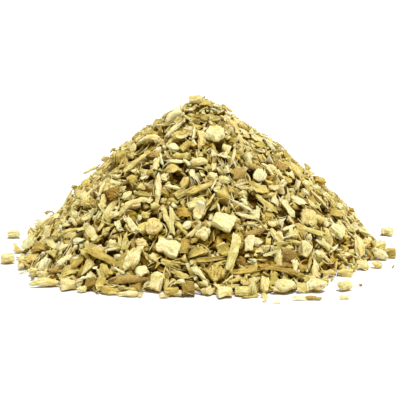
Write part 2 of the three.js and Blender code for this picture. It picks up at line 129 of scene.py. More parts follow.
# Chips that stand out in the photograph: across and down the picture in its pixels, length and
# width in millimetres, tone, and turn in degrees anticlockwise where there is one
BRIGHT, CREAM, PALE, TAN, OLIVE, BROWN, DARK = 0.0, 0.12, 0.26, 0.45, 0.62, 0.76, 0.95
STAND_OUT = 1.1
FACE_THE_EYE = 0.8
SLIDE_TO_EYE = 3.0
SLIDE_ABOVE = 3.0
SEEN_CHIPS = {
    "pith_chunk": [
        (18, 251, 3.6, 3.3, TAN), (37, 234, 4.4, 4.2, CREAM, 20), (56, 254, 4.2, 3.3, TAN, -30),
        (79, 283, 4.4, 3.2, CREAM, 90), (81, 243, 6.3, 3.4, BRIGHT, -5), (98, 250, 4.8, 4.4, CREAM, -40),
        (47, 238, 7, 3.6, PALE, 70), (64, 247, 4.4, 2.4, PALE, 20), (62, 213, 3.4, 2.4, BROWN),
        (76, 206, 3.7, 2.3, TAN), (66, 207, 3.7, 2.3, TAN), (62, 222, 4.1, 3.3, PALE),
        (114, 215, 3.8, 3, CREAM), (117, 224, 4.4, 3, CREAM, 90), (129, 214, 5.9, 3.4, CREAM),
        (143, 228, 5.6, 4, TAN, 60), (194, 241, 3, 2.4, OLIVE), (203, 244, 3, 2.3, TAN),
        (240, 229, 3, 2, PALE, -30), (184, 258, 4.1, 3, TAN, 90), (155, 258, 4, 3.7, PALE),
        (198, 264, 5.6, 3.6, PALE), (138, 286, 4.4, 2.6, BROWN), (161, 294, 5.2, 2.6, PALE),
        (122, 287, 4.8, 2.3, PALE), (257, 242, 4.8, 4, BRIGHT, 20), (254, 262, 4.4, 2.3, CREAM, -5),
        (242, 262, 4, 3.3, DARK), (245, 282, 4, 3.3, TAN, 80), (254, 287, 5.6, 3.8, PALE, 90),
        (328, 273, 5.9, 3, TAN), (323, 280, 2.6, 1.6, CREAM), (281, 244, 4, 3, TAN),
        (277, 236, 6.6, 4.2, PALE, -50), (288, 248, 4, 2.3, TAN), (257, 213, 5.5, 4.4, CREAM),
        (309, 239, 3.3, 1.9, BRIGHT, 90), (303, 268, 4.4, 3.7, BROWN, 90), (352, 263, 4.4, 2.6, TAN, 85),
        (343, 258, 5.5, 3.7, TAN, -35), (343, 248, 4.8, 3, TAN), (347, 237, 4.1, 3.7, TAN, 90),
        (351, 211, 3.7, 2.2, BROWN), (351, 218, 3, 1.9, PALE, 90), (355, 227, 3.7, 3.3, CREAM),
        (105, 158, 3.3, 3, PALE, 60), (114, 151, 3, 1.6, TAN), (125, 146, 3.4, 2.4, TAN, -10),
        (99, 173, 4.6, 3.2, TAN, 15), (75, 186, 3, 2.6, OLIVE), (79, 194, 4.6, 4, PALE),
        (70, 197, 3, 2.8, TAN), (123, 189, 3.4, 2, PALE), (127, 196, 4.4, 3.3, PALE, 60),
        (115, 182, 5.6, 2.8, PALE, -10), (144, 177, 3, 2, BRIGHT, 20), (136, 172, 3.2, 2.4, CREAM, -60),
        (164, 178, 4.2, 3.4, CREAM, -30), (183, 205, 3.6, 2.4, TAN, 80), (150, 201, 3.4, 1.8, PALE, 50),
        (194, 104, 4.8, 2.8, OLIVE, -40), (187, 106, 3.2, 2.4, PALE, 20), (217, 106, 3.6, 2.4, CREAM),
        (233, 117, 2.4, 2.2, PALE), (195, 120, 4.8, 2.8, TAN, -20), (206, 118, 4, 2.8, OLIVE),
        (183, 122, 2.6, 2.4, OLIVE, 60), (225, 118, 4.8, 3.3, PALE), (222, 124, 2.6, 2.4, BROWN),
        (158, 122, 3.8, 2, OLIVE), (162, 133, 4.6, 3.2, BROWN, 85), (198, 127, 4.2, 3, TAN, 15),
        (211, 153, 4.8, 3.6, CREAM, -30), (226, 149, 4.6, 3.2, PALE, 70), (233, 142, 4, 3, BROWN, 80),
        (254, 131, 3.2, 2.4, PALE, -10), (187, 163, 3.4, 2.2, CREAM, -25), (206, 167, 3.3, 3, TAN, 60),
        (214, 167, 3.6, 1.8, BRIGHT, 75), (276, 156, 3.2, 2.8, TAN), (305, 167, 4.2, 3.4, OLIVE, -20),
        (310, 174, 4, 2.6, PALE, -20), (297, 184, 4.8, 3, CREAM, 80), (306, 184, 3.2, 3, PALE),
        (284, 184, 3.4, 3.2, BRIGHT, 20), (280, 174, 4.8, 2.8, PALE, -30), (316, 189, 4.8, 3.6, PALE, -20),
        (302, 194, 4, 3.6, TAN), (312, 199, 5, 4, BROWN, -50), (275, 203, 6, 3.2, PALE, 85),
        (243, 195, 3.4, 3, PALE, -30), (244, 202, 3, 2, BRIGHT, -70),
    ],
    "crumbly_lump": [
        (31, 258, 6.6, 4.4, TAN, 10), (33, 271, 4.8, 4, PALE), (74, 214, 4.4, 4.4, BRIGHT),
        (112, 244, 4.4, 4.1, PALE), (145, 215, 4.3, 4.1, TAN), (155, 206, 3.8, 3.4, TAN),
        (142, 243, 5.5, 4.8, PALE), (320, 254, 5.5, 4.1, CREAM), (376, 251, 5.2, 3.7, TAN, 90),
        (367, 242, 5.5, 3.7, TAN, 90), (364, 264, 6.6, 4.8, CREAM), (378, 264, 4.8, 3.7, PALE),
        (86, 184, 4.4, 3.4, TAN, 20), (141, 187, 3.6, 3, TAN), (150, 173, 3.4, 3, BROWN),
        (185, 182, 6.4, 4.2, TAN, 80), (213, 176, 5.2, 4.4, PALE), (224, 180, 5.2, 4.2, PALE),
        (326, 224, 4, 3.6, CREAM), (326, 196, 4.2, 3.6, PALE, -30), (339, 206, 4.2, 3.4, CREAM, -30),
    ],
    "pith_block": [
        (184, 246, 5.2, 3.3, BROWN, 85), (279, 260, 6.2, 2.6, PALE, 88), (292, 234, 3.7, 3.6, PALE),
        (103, 203, 4.6, 2.4, PALE, 88), (156, 165, 5, 2.6, PALE, 80), (181, 156, 5, 2.6, TAN, -2),
        (186, 146, 4.2, 2.6, OLIVE, 45), (196, 203, 5.6, 3.8, PALE, 25), (237, 123, 4.2, 3, PALE, -40),
        (201, 140, 6, 3, PALE, 85), (249, 160, 5.6, 2.5, CREAM, 88), (320, 181, 4.2, 3, OLIVE, -8),
    ],
    "split_stick": [
        (25, 264, 5.2, 1.1, TAN, -35), (64, 261, 6.6, 2.1, CREAM, 40), (85, 279, 4.2, 1, BRIGHT, 10),
        (86, 255, 4.8, 1.5, TAN, -45), (73, 231, 5.2, 1.6, TAN), (54, 245, 5.9, 2.5, PALE, -50),
        (132, 225, 5.2, 2.6, CREAM, -60), (182, 229, 6.3, 1.9, TAN, -50), (194, 231, 6.3, 1.5, PALE, 45),
        (226, 237, 4.4, 1.8, TAN), (181, 275, 5.4, 2.6, TAN, -20), (217, 266, 5.4, 1.6, TAN, 25),
        (119, 272, 5, 0.8, BRIGHT, -35), (246, 271, 7.4, 2.2, OLIVE, 5), (268, 266, 8.8, 1.3, BROWN, -3),
        (273, 280, 5.8, 2.8, OLIVE, 85), (315, 272, 5.8, 2.8, PALE, 85), (289, 228, 5.2, 1.1, BRIGHT, 28),
        (313, 232, 10.3, 1.9, TAN, -15), (297, 243, 6.6, 1.5, TAN, -5), (286, 207, 6.6, 2.4, CREAM, -60),
        (241, 206, 7.4, 0.8, BRIGHT, -30), (247, 216, 6.6, 1.5, CREAM, -12), (235, 219, 4.4, 3, TAN, -45),
        (310, 261, 7, 1.1, PALE, 70), (324, 257, 4.4, 1.1, PALE, -50), (324, 245, 5.2, 2.6, PALE, -40),
        (333, 250, 4.1, 1.5, BRIGHT, 40), (294, 267, 4.8, 2.2, CREAM, 75), (92, 171, 5.6, 1.5, BRIGHT, 10),
        (106, 165, 6.2, 1.8, CREAM, 20), (90, 193, 6.3, 1.5, CREAM, 40), (102, 191, 5.2, 1.5, CREAM, 80),
        (162, 161, 4.4, 0.9, CREAM, -75), (158, 190, 8.5, 2.2, CREAM, 88), (175, 162, 5.8, 1.6, CREAM, -4),
        (200, 189, 7.6, 1.7, TAN, 25), (213, 186, 3.4, 0.8, BRIGHT, 65), (226, 109, 3.6, 1.8, OLIVE, -25),
        (243, 128, 4.2, 1.4, BROWN, -20), (174, 130, 7.4, 1.7, CREAM, 50), (193, 135, 4.8, 1.1, CREAM, 80),
        (240, 138, 5.4, 2.4, PALE, -60), (223, 157, 4, 1, CREAM, -15), (233, 157, 4.8, 1.1, PALE, 75),
        (267, 196, 4.8, 1.7, TAN, 12), (266, 203, 8.4, 1.8, TAN, -38),
    ],
    "splinter_bundle": [
        (123, 243, 7.4, 3.7, TAN, 85), (243, 186, 6.2, 2.4, CREAM, 12), (252, 224, 5, 2.2, PALE, -10),
    ],
    "tuft": [
        (58, 235, 5.9, 4.4, TAN), (172, 265, 8.8, 4.4, TAN, -20), (148, 285, 3.4, 3.2, CREAM),
        (194, 178, 7, 2.8, BRIGHT, -72), (178, 199, 6.6, 3.8, TAN, 25), (239, 154, 4.8, 4, OLIVE, 60),
        (226, 166, 5.4, 4.4, CREAM, 95), (148, 186, 4.6, 3.2, PALE, 30), (133, 182, 4.8, 3.4, OLIVE, -50),
    ],
    "wood_flake": [
        (31, 243, 6.3, 3.7, CREAM, 35), (40, 249, 7.4, 3.3, BROWN, -20), (68, 273, 6.6, 3.3, TAN, 15),
        (101, 280, 7.2, 3.3, TAN, 80), (110, 292, 6.6, 2.3, OLIVE, -5), (50, 214, 4.6, 1.6, OLIVE, 10),
        (183, 213, 4.8, 3.3, BROWN), (200, 253, 7.4, 2.7, TAN, 12), (211, 260, 8.2, 1.6, OLIVE, 5),
        (126, 262, 6, 5, TAN, 30), (178, 293, 6.3, 2.5, CREAM, -5), (300, 299, 4.8, 1.5, BRIGHT),
        (307, 217, 6.3, 5.5, PALE, 80), (317, 219, 5.2, 4, TAN, -60), (343, 298, 3.7, 1.4, BRIGHT),
        (146, 195, 6.2, 1.6, OLIVE, -15), (173, 170, 5.4, 3.3, TAN, 15), (199, 101, 4, 1.7, CREAM, 5),
        (206, 105, 4.2, 2.2, TAN, -12), (178, 135, 3.4, 2.6, TAN, 60), (256, 139, 4.4, 2.2, CREAM, -22),
        (259, 146, 4.8, 1.8, OLIVE, -10), (199, 162, 5.4, 3, PALE, 15), (258, 189, 6.6, 3.3, TAN, -25),
        (286, 157, 3.4, 2.4, OLIVE, -60), (297, 201, 5.4, 2.8, CREAM, -20), (336, 214, 5.2, 3.2, OLIVE),
    ],
    "curled_strip": [
        (92, 234, 8.8, 3, PALE, -55), (90, 216, 6.6, 1.6, PALE, 40), (199, 211, 6.4, 3.6, BRIGHT, 75),
        (224, 250, 5.2, 4, TAN, -50), (302, 288, 4, 3.6, PALE), (262, 250, 5, 2.5, PALE, 30),
        (270, 254, 5.9, 1.2, PALE, 20), (311, 204, 6.6, 1.5, PALE, -45), (272, 224, 5.2, 1.9, CREAM),
        (191, 110, 5.8, 1.3, CREAM, 15), (183, 137, 5.8, 1.2, CREAM, 12), (261, 159, 3.2, 3, TAN),
        (274, 188, 5.2, 1.6, CREAM, 5),
    ],
    "bark_strip": [
        (55, 271, 3.4, 2.3, BROWN), (128, 280, 11.5, 3, BROWN, 5), (287, 261, 5.2, 4.6, TAN, 80),
        (254, 233, 6.3, 1.9, BROWN, 18), (157, 156, 5.8, 2.2, TAN, -20), (239, 174, 4.6, 4.2, TAN, 20),
        (254, 168, 5.8, 2.2, TAN, -15), (279, 166, 3.8, 3, BROWN, -30),
    ],
    "root_wedge": [
        (87, 269, 6.2, 4, PALE, 60),
    ],
    "crumb": [
        (141, 296, 1.9, 1.8, CREAM), (247, 256, 2.2, 1.5, BRIGHT), (266, 299, 2.8, 2.2, PALE, 80),
        (276, 304, 3.3, 0.9, PALE), (359, 286, 1.6, 1.2, DARK), (393, 267, 1.8, 1.3, DARK),
    ],
}

# Dark gaps that stand out in it: across, down, and radius in millimetres
GAP_DEPTH = 3.2
SEEN_GAPS = [
    (139, 155, 1.7), (130, 188, 1.5), (111, 171, 0.9), (127, 178, 0.8), (219, 147, 1.3), (176, 177, 1.6),
    (195, 112, 0.9), (190, 156, 1), (180, 142, 1), (250, 176, 1.6), (268, 161, 1.2), (281, 213, 1.9),
    (258, 202, 1.7), (250, 199, 1.2), (299, 217, 1.2), (327, 211, 1.3), (333, 218, 1), (163, 162, 1.1),
    (153, 215, 1),
]

# Where no chip stands out past the foot or far above it: place and radius in millimetres
BARE_HEIGHT = 0.3
BARE_FOOT = 2.6
BARE_PLACES = [(61, 4, 8), (66, 13, 7), (66, 22, 7), (-50, 12, 6), (-56, 4, 5)]


def unit(vectors):
    return vectors / np.linalg.norm(vectors, axis=-1, keepdims=True)


heap_middle = np.array([*HEAP_AXIS, 0])
eye = heap_middle + EYE_DISTANCE * np.array([0, -math.cos(EYE_ELEVATION), math.sin(EYE_ELEVATION)])
forward = unit(heap_middle + EYE_AIM - eye)
rightward = unit(np.cross(forward, [0, 0, 1]))
upward = np.cross(rightward, forward)


def rotation_to(normal, turn):
    """A rotation that brings Z to the normal, after a turn about Z."""
    normal = unit(np.asarray(normal, float))
    side = unit(np.cross([0.31, 0.95, 0.02], normal))
    up = np.cross(normal, side)
    c, s = math.cos(turn), math.sin(turn)
    return np.column_stack([c * side + s * up, c * up - s * side, normal])


NOISE_SIZE = 24
NOISE_TABLE = rng.uniform(-1, 1, (NOISE_SIZE,) * 3)


def noise(points):
    """Smooth noise from -1 to 1, one bump to a unit, repeated every NOISE_SIZE units."""
    base = np.floor(points).astype(int)
    part = points - base
    part = part * part * (3 - 2 * part)
    total = np.zeros(len(points))
    for corner in np.ndindex(2, 2, 2):
        i, j, k = ((base + corner) % NOISE_SIZE).T
        weight = np.prod(np.where(corner, part, 1 - part), axis=1)
        total += weight * NOISE_TABLE[i, j, k]
    return total


# Chip shapes. Each is made of closed meshes round the origin with its fibres along X, given as
# vertices, faces, and how much of each vertex is outer bark. Their fineness depends on where they
# lie: under the surface, on it, or among the chips whose places are listed.

UNDER, ON_TOP, BY_EYE = 0, 1, 2


def bare_skin(points):
    return np.zeros(len(points))


def joined(shapes):
    points, faces, skin, base = [], [], [], 0
    for shape_points, shape_faces, shape_skin in shapes:
        points.append(shape_points)
        faces += [[v + base for v in face] for face in shape_faces]
        skin.append(shape_skin)
        base += len(shape_points)
    return np.vstack(points), faces, np.concatenate(skin)


def ring_angles(sides):
    return np.arange(sides) * 2 * math.pi / sides


def tube(loops, skin=None):
    """A closed tube through loops of points, with one face on each end."""
    points = np.vstack(loops)
    grid = np.arange(len(points)).reshape(len(loops), -1)
    beside = np.roll(grid, -1, axis=1)
    faces = np.dstack([grid[:-1], beside[:-1], beside[1:], grid[1:]]).reshape(-1, 4).tolist()
    faces += [grid[0, ::-1].tolist(), grid[-1].tolist()]
    return points, faces, np.concatenate(skin) if skin else bare_skin(points)


def sheet(lines, skin=None):
    """A closed sheet through the lines of points on its upper side, and then those on its lower."""
    points = np.vstack(lines)
    layer = len(points) // 2
    grid = np.arange(layer).reshape(len(lines) // 2, -1)
    upper = np.dstack([grid[:-1, :-1], grid[1:, :-1], grid[1:, 1:], grid[:-1, 1:]]).reshape(-1, 4)
    lower = upper[:, [0, 3, 2, 1]] + layer
    rim = np.concatenate([grid[0], grid[1:, -1], grid[-1, -2::-1], grid[-2:0:-1, 0]])
    beside = np.roll(rim, -1)
    edge = np.column_stack([rim, beside, beside + layer, rim + layer])
    faces = np.vstack([np.hstack([upper, lower]).reshape(-1, 4), edge]).tolist()
    return points, faces, np.concatenate(skin) if skin else bare_skin(points)


def strand(root, tip, radius, sides=3, rings=3):
    """A torn strand, bowed a little, that gets thinner from its root to its tip."""
    along = tip - root
    side = unit(np.cross(along, rng.normal(0, 1, 3)))
    other = unit(np.cross(along, side))
    bow = rng.normal(0, 0.12) * np.linalg.norm(along) * other
    angle = ring_angles(sides)[:, None]
    loops = []
    for far in np.linspace(0, 1, rings):
        middle = root + far * along + 4 * far * (1 - far) * bow
        thick = radius * (1 - 0.75 * far)
        loops.append(middle + thick * (np.cos(angle) * side + np.sin(angle) * other))
    return tube(loops)


def frayed(shape, size, most):
    """A shape with up to a few torn strands that stand off along its fibres."""
    shapes = [shape]
    for _ in range(rng.integers(0, most + 1)):
        end = rng.choice([-1, 1])
        root = np.array([end * rng.uniform(0.05, 0.3), *rng.uniform(-0.3, 0.3, 2)])
        tip = root + (end * rng.uniform(0.2, 0.45), *rng.normal(0, 0.3, 2))
        shapes.append(strand(root * size, tip * size, rng.uniform(0.12, 0.26)))
    return joined(shapes)


def crumbled(points, rough):
    """Lobes, ridges along the fibres and a rough skin on a shape about 1 across."""
    seeded = points + rng.uniform(0, NOISE_SIZE, 3)
    push = noise(seeded * 2.6) + 0.7 * noise(seeded * (1.5, 6, 6))
    return points * (1 + rough * push[:, None]) + rng.normal(0, rough / 6, points.shape)


def cube_ball(steps):
    """Directions and quads of a cube that is blown up into a ball."""
    ticks = np.tan(np.linspace(-1, 1, steps + 1) * math.pi / 4)
    found, directions, quads = {}, [], []
    for axis, sign, i, j in product(range(3), (-1, 1), range(steps), range(steps)):
        corners = []
        for di, dj in ((0, 0), (1, 0), (1, 1), (0, 1)):
            point = np.roll([sign, ticks[i + di], ticks[j + dj]], axis)
            key = tuple(np.round(point, 6))
            if key not in found:
                found[key] = len(directions)
                directions.append(point / np.linalg.norm(point))
            corners.append(found[key])
        quads.append(corners[::sign])
    return np.array(directions), quads


BALLS = {UNDER: cube_ball(3), ON_TOP: cube_ball(4), BY_EYE: cube_ball(7)}


def taken_out(bm):
    """The points and faces of a bmesh, which is then freed."""
    bm.verts.index_update()
    points = np.array([vertex.co for vertex in bm.verts])
    faces = [[vertex.index for vertex in face.verts] for face in bm.faces]
    bm.free()
    return points, faces


def broken_hull(corners, boxiness):
    """An angular lump about 1 across: the hull of a few points on a rounded box."""
    directions = unit(rng.normal(0, 1, (corners, 3)))
    reach = (np.abs(directions) ** boxiness).sum(axis=1) ** (-1 / boxiness) / 2
    bm = bmesh.new()
    for point in directions * (reach * rng.uniform(0.7, 1.12, corners))[:, None]:
        bm.verts.new(point)
    found = bmesh.ops.convex_hull(bm, input=bm.verts)
    bmesh.ops.delete(bm, geom=found["geom_interior"], context="VERTS")
    return taken_out(bm)


def split_faces(points, triangles, rough=0.0, longest=0.0):
    """Halves the triangles' long edges, and moves the new points off the old faces."""
    middles, found = {}, list(points)

    def middle(a, b):
        key = (min(a, b), max(a, b))
        if key not in middles:
            middles[key] = None
            if math.dist(points[a], points[b]) > longest:
                middles[key] = len(found)
                found.append((points[a] + points[b]) / 2 + rng.normal(0, rough, 3))
        return middles[key]

    smaller = []
    for corners in triangles:
        halves = [middle(corners[k], corners[(k + 1) % 3]) for k in range(3)]
        whole = [k for k in range(3) if halves[k] is None]
        if len(whole) == 3:
            smaller.append(corners)
            continue
        first = whole[0] if len(whole) == 1 else 2 - sum(whole)
        a, b, c = (corners[(first + k + 1) % 3] for k in range(3))
        ab, bc, ca = (halves[(first + k + 1) % 3] for k in range(3))
        if not whole:
            smaller += [[a, ab, ca], [ab, b, bc], [ca, bc, c], [ab, bc, ca]]
        elif len(whole) == 1:
            smaller += [[ab, b, bc], [a, ab, bc], [a, bc, c]]
        else:
            smaller += [[a, ab, c], [ab, b, c]]
    return np.array(found), smaller


BOXINESS = 5
LOBE_CHANCE = 0.6


def split_hull(corners, roughs):
    hull = broken_hull(corners, BOXINESS)
    for rough in roughs:
        hull = split_faces(*hull, rough=rough)
    return hull


HULLS = {
    UNDER: [split_hull(8, (0.03,)) for _ in range(40)],
    ON_TOP: [split_hull(9, (0.035, 0.03)) for _ in range(90)],
    BY_EYE: [split_hull(9, (0.035, 0.025, 0.015)) for _ in range(60)],
}


def broken_lobe(size, fine):
    """Flat faces at odd angles with a rough skin."""
    points, faces = HULLS[fine][rng.integers(len(HULLS[fine]))]
    a, b = rng.choice([-1, 1], 2)
    points = crumbled(points * (a, b, a * b), 0.06) * size
    return points, faces, bare_skin(points)


def chunk(size, fine):
    """A broken piece of pith, often with a smaller lobe that still hangs on to it."""
    if not fine:
        return broken_lobe(size, fine)
    size = np.array(size)
    shapes = [broken_lobe(size * 0.95, fine)]
    if rng.random() < LOBE_CHANCE:
        points, faces, skin = broken_lobe(size * rng.uniform(0.45, 0.7), fine - 1)
        shapes.append((points + unit(rng.normal(0, 1, 3)) * size * rng.uniform(0.28, 0.4), faces, skin))
    return frayed(joined(shapes), size, most=2)


def crumb(size, fine):
    return chunk(size, UNDER)


def crumbly_lump(size, fine):
    """A crumbly lump of dried pith, knobbly all over."""
    directions, quads = BALLS[fine]
    knobs = 13 + 5 * fine
    middles = unit(rng.normal(0, 1, (knobs, 3)))
    apart = ((directions[:, None] - middles[None]) ** 2).sum(axis=2)
    heights = rng.uniform(0.14, 0.44, knobs)
    reach = 0.6 + (heights * np.exp(-apart * knobs / 1.8)).max(axis=1)
    points = crumbled(directions * reach[:, None] / 2, 0.12) * size
    return points, quads, bare_skin(points)


def stick(size, fine, boxy=3.0, bow=0.15, fray=0.15, taper=0.45, ridges=(0.6, 1.15)):
    """A split length of wood: ridges run from end to end, and the ends are torn."""
    rings, sides = (8, 9) if fine else (5, 6)
    length, width, thickness = size
    angle = ring_angles(sides) + rng.uniform(0, 1)
    c, s = np.cos(angle), np.sin(angle)
    section = (np.abs(c) ** boxy + np.abs(s) ** boxy) ** (-1 / boxy) * rng.uniform(*ridges, sides)
    bend, swing = rng.normal(0, (bow, bow * 0.7)) * length
    kink = rng.normal(0, bow * 0.5) * length
    twist = rng.normal(0, 0.9)
    thin = rng.uniform(-taper, taper)
    loops = []
    for i, x in enumerate(np.linspace(-0.5, 0.5, rings)):
        at_end = i in (0, rings - 1)
        swell = (1 + thin * x) * rng.uniform(0.8, 1.15) * (rng.uniform(0.45, 0.95) if at_end else 1)
        turned = angle + twist * x
        reach = section * swell * (1 + rng.normal(0, 0.13, sides))
        torn = rng.normal(0, fray if at_end else 0.03, sides)
        loops.append(np.column_stack([
            (x + torn) * length,
            np.cos(turned) * reach * width / 2 + swing * (0.25 - x * x),
            np.sin(turned) * reach * thickness / 2 + bend * (0.25 - x * x) + kink * x ** 3 * 4,
        ]))
    shape = tube(loops)
    return frayed(shape, size, most=3) if fine else shape


def block(size, fine):
    """A short snapped length, squarer than a stick."""
    return stick(size, fine, boxy=4.5, bow=0.05, fray=0.09, taper=0.35, ridges=(0.7, 1.12))


def splinters(size, fine, rings=4, sides=4):
    """A bundle of strands that still hold together at one end and spread at the other."""
    length, width, thickness = size
    angle = ring_angles(sides)
    shapes = []
    strands = rng.integers(6, 11) if fine else rng.integers(4, 6)
    lean = rng.normal(0, 0.16, 2)
    for _ in range(strands):
        across = rng.uniform(-0.5, 0.5) * width * 0.75
        deep = rng.uniform(-0.5, 0.5) * thickness * 0.75
        start, stop = rng.uniform(-0.5, -0.25), rng.uniform(0.0, 0.5)
        open_y, open_z = rng.uniform(0.1, 1.2, 2) * (across, deep) + lean * length * 0.3
        thick = rng.uniform(0.2, 0.42) * width
        turn = rng.uniform(0, math.pi)
        loops = []
        for x in np.linspace(start, stop, rings):
            far = (x - start) / (stop - start)
            reach = thick / 2 * (1.1 - 0.7 * far ** 2) * rng.uniform(0.8, 1.2, sides)
            loops.append(np.column_stack([
                np.full(sides, x * length) + rng.normal(0, 0.03 * length, sides),
                across + open_y * far ** 2 + np.cos(angle + turn) * reach,
                deep + open_z * far ** 2 + np.sin(angle + turn) * reach * 0.7,
            ]))
        shapes.append(tube(loops))
    points, faces, skin = joined(shapes)
    return points - points.mean(axis=0), faces, skin


def tuft(size, fine):
    """A piece that is torn open at one end, where its fibres stand out like a brush."""
    size = np.array(size)
    points, faces, skin = chunk(size * (0.62, 0.85, 0.9), fine)
    shapes = [(points - (0.18 * size[0], 0, 0), faces, skin)]
    for _ in range(16 if fine else 6):
        root = np.array([rng.uniform(-0.1, 0.08), *rng.uniform(-0.36, 0.36, 2)])
        tip = np.array([rng.uniform(0.25, 0.6), *(root[1:] * 1.5 + rng.normal(0, 0.16, 2))])
        shapes.append(strand(root * size, tip * size, rng.uniform(0.14, 0.3)))
    return joined(shapes)


def flake(size, fine):
    """A thin leaf of wood, curled and twisted as it dried, with a ragged outline."""
    rows, columns = (8, 6) if fine else (5, 4)
    length, width, thickness = size
    along, across = np.meshgrid(np.linspace(-0.5, 0.5, rows), np.linspace(-0.5, 0.5, columns), indexing="ij")
    narrow = 1 - rng.uniform(0.1, 0.8) * (2 * np.abs(along + rng.uniform(-0.15, 0.15))) ** 2
    narrow *= rng.uniform(0.75, 1.15, rows)[:, None]
    ragged = np.where(np.abs(along) > 0.49, 0.1, 0.04)
    x = (along + rng.normal(0, ragged)) * length
    y = across * np.clip(narrow, 0.25, 1.2) * width + rng.normal(0, 0.05, along.shape) * width
    curl = rng.normal(0, 1.3) / width
    arch = rng.normal(0, 0.8) / length
    twist = rng.normal(0, 1.2) * along
    z = curl * y ** 2 + arch * x ** 2 + rng.normal(0, 0.12, along.shape) * thickness
    y, z = y * np.cos(twist) - z * np.sin(twist), y * np.sin(twist) + z * np.cos(twist)
    z -= z.mean()
    thick = thickness * rng.uniform(0.3, 0.65, along.shape)
    upper, lower = (np.dstack([x, y, z + side * thick]) for side in (1, -1))
    shape = sheet([*upper, *lower])
    return frayed(shape, size, most=2) if fine else shape


def curled_strip(size, fine):
    """A thin strip that curled up along its length."""
    rows, columns = (12, 4) if fine else (7, 3)
    length, width, thickness = size
    along = np.linspace(-0.5, 0.5, rows)
    heading = rng.uniform(1.6, 4.4) * (along + rng.uniform(-0.5, 0.5) * along ** 2)
    c, s = np.cos(heading), np.sin(heading)
    step = length * 1.15 / rows
    line_x, line_z = np.cumsum(c) * step, np.cumsum(s) * step
    twist = rng.normal(0, 1.1) * along
    narrow = 1 - rng.uniform(0.2, 0.7) * (2 * np.abs(along)) ** 2
    half_width = width / 2 * narrow * rng.uniform(0.8, 1.15, rows)
    lines = []
    for side in (1, -1):
        for i in range(rows):
            out = np.array([-s[i], 0, c[i]])
            across = math.cos(twist[i]) * np.array([0, 1, 0]) + math.sin(twist[i]) * out
            face = np.cross([c[i], 0, s[i]], across)
            thick = side * thickness * rng.uniform(0.3, 0.6, columns)
            share = np.linspace(-1, 1, columns)
            lines.append(np.array([line_x[i], 0, line_z[i]]) + half_width[i] * share[:, None] * across
                         + thick[:, None] * face + rng.normal(0, 0.04, (columns, 3)))
    points, faces, skin = sheet(lines)
    return points - points.mean(axis=0), faces, skin


def bark(size, fine):
    """A strip of bark that curled as it dried: brown outside, pale inside."""
    rings, around = (8, 7) if fine else (5, 5)
    length, width, thickness = size
    opening = rng.uniform(1.1, 3.6)
    radius = width / (2 * math.sin(min(opening, math.pi) / 2))
    wall = min(thickness, radius * 0.5)
    angle = np.linspace(-opening / 2, opening / 2, around)
    turned = np.concatenate([angle, angle[::-1]])
    bend = rng.normal(0, 0.5) / length
    loops = []
    for x in np.linspace(-0.5, 0.5, rings):
        torn = rng.normal(0, 0.09 if abs(x) > 0.45 else 0.02, 2 * around)
        outer = radius * rng.uniform(0.88, 1.1, around) * rng.uniform(0.9, 1.08)
        inner = outer - wall * rng.uniform(0.7, 1.2, around)
        reach = np.concatenate([inner, outer[::-1]])
        loops.append(np.column_stack([
            (x + torn) * length,
            reach * np.sin(turned),
            reach * np.cos(turned) + bend * (x * length) ** 2,
        ]))
    points, faces, skin = tube(loops, [np.repeat([0.0, 1.0], around)] * rings)
    points[:, 2] -= points[:, 2].mean()
    return points, faces, skin


def wedge(size, fine):
    """A piece cut across the root, with ribs that fan out to the bark on its round side."""
    spokes, steps = (11, 4) if fine else (7, 3)
    length, width, thickness = size
    opening = rng.uniform(0.9, 1.9)
    angle = np.linspace(-opening / 2, opening / 2, spokes)
    ribs = np.where(np.arange(spokes) % 2, 0.3, -0.2) + rng.normal(0, 0.08, spokes)
    lines, skin = [], []
    for side in (1, -1):
        for i in range(steps + 1):
            share = (i + 0.25) / (steps + 0.25)
            reach = share * (1 + rng.normal(0, 0.03, spokes))
            high = side * thickness / 2 * (1 + ribs * share + rng.normal(0, 0.05, spokes))
            lines.append(np.column_stack([
                (reach * np.cos(angle) - 0.5) * length,
                reach * np.sin(angle) * width,
                high,
            ]))
            skin.append(np.full(spokes, 0.9 if i == steps else 0.0))
    return sheet(lines, skin)


def fibre(size, fine, rings=7, sides=5):
    """A loose fibre: a thin tube along a gentle curve."""
    length, width, _ = size
    bow, swing = rng.normal(0, 0.16, 2) * length
    angle = ring_angles(sides)
    loops = []
    for x in np.linspace(-0.5, 0.5, rings):
        thin = width / 2 * (1 - 0.6 * abs(2 * x) ** 3)
        loops.append(np.column_stack([
            np.full(sides, x * length),
            np.cos(angle) * thin + bow * (0.25 - x * x) * 4,
            np.sin(angle) * thin + swing * (0.25 - x * x) * 4 + 0.3 * swing * x ** 3,
        ]))
    return tube(loops)


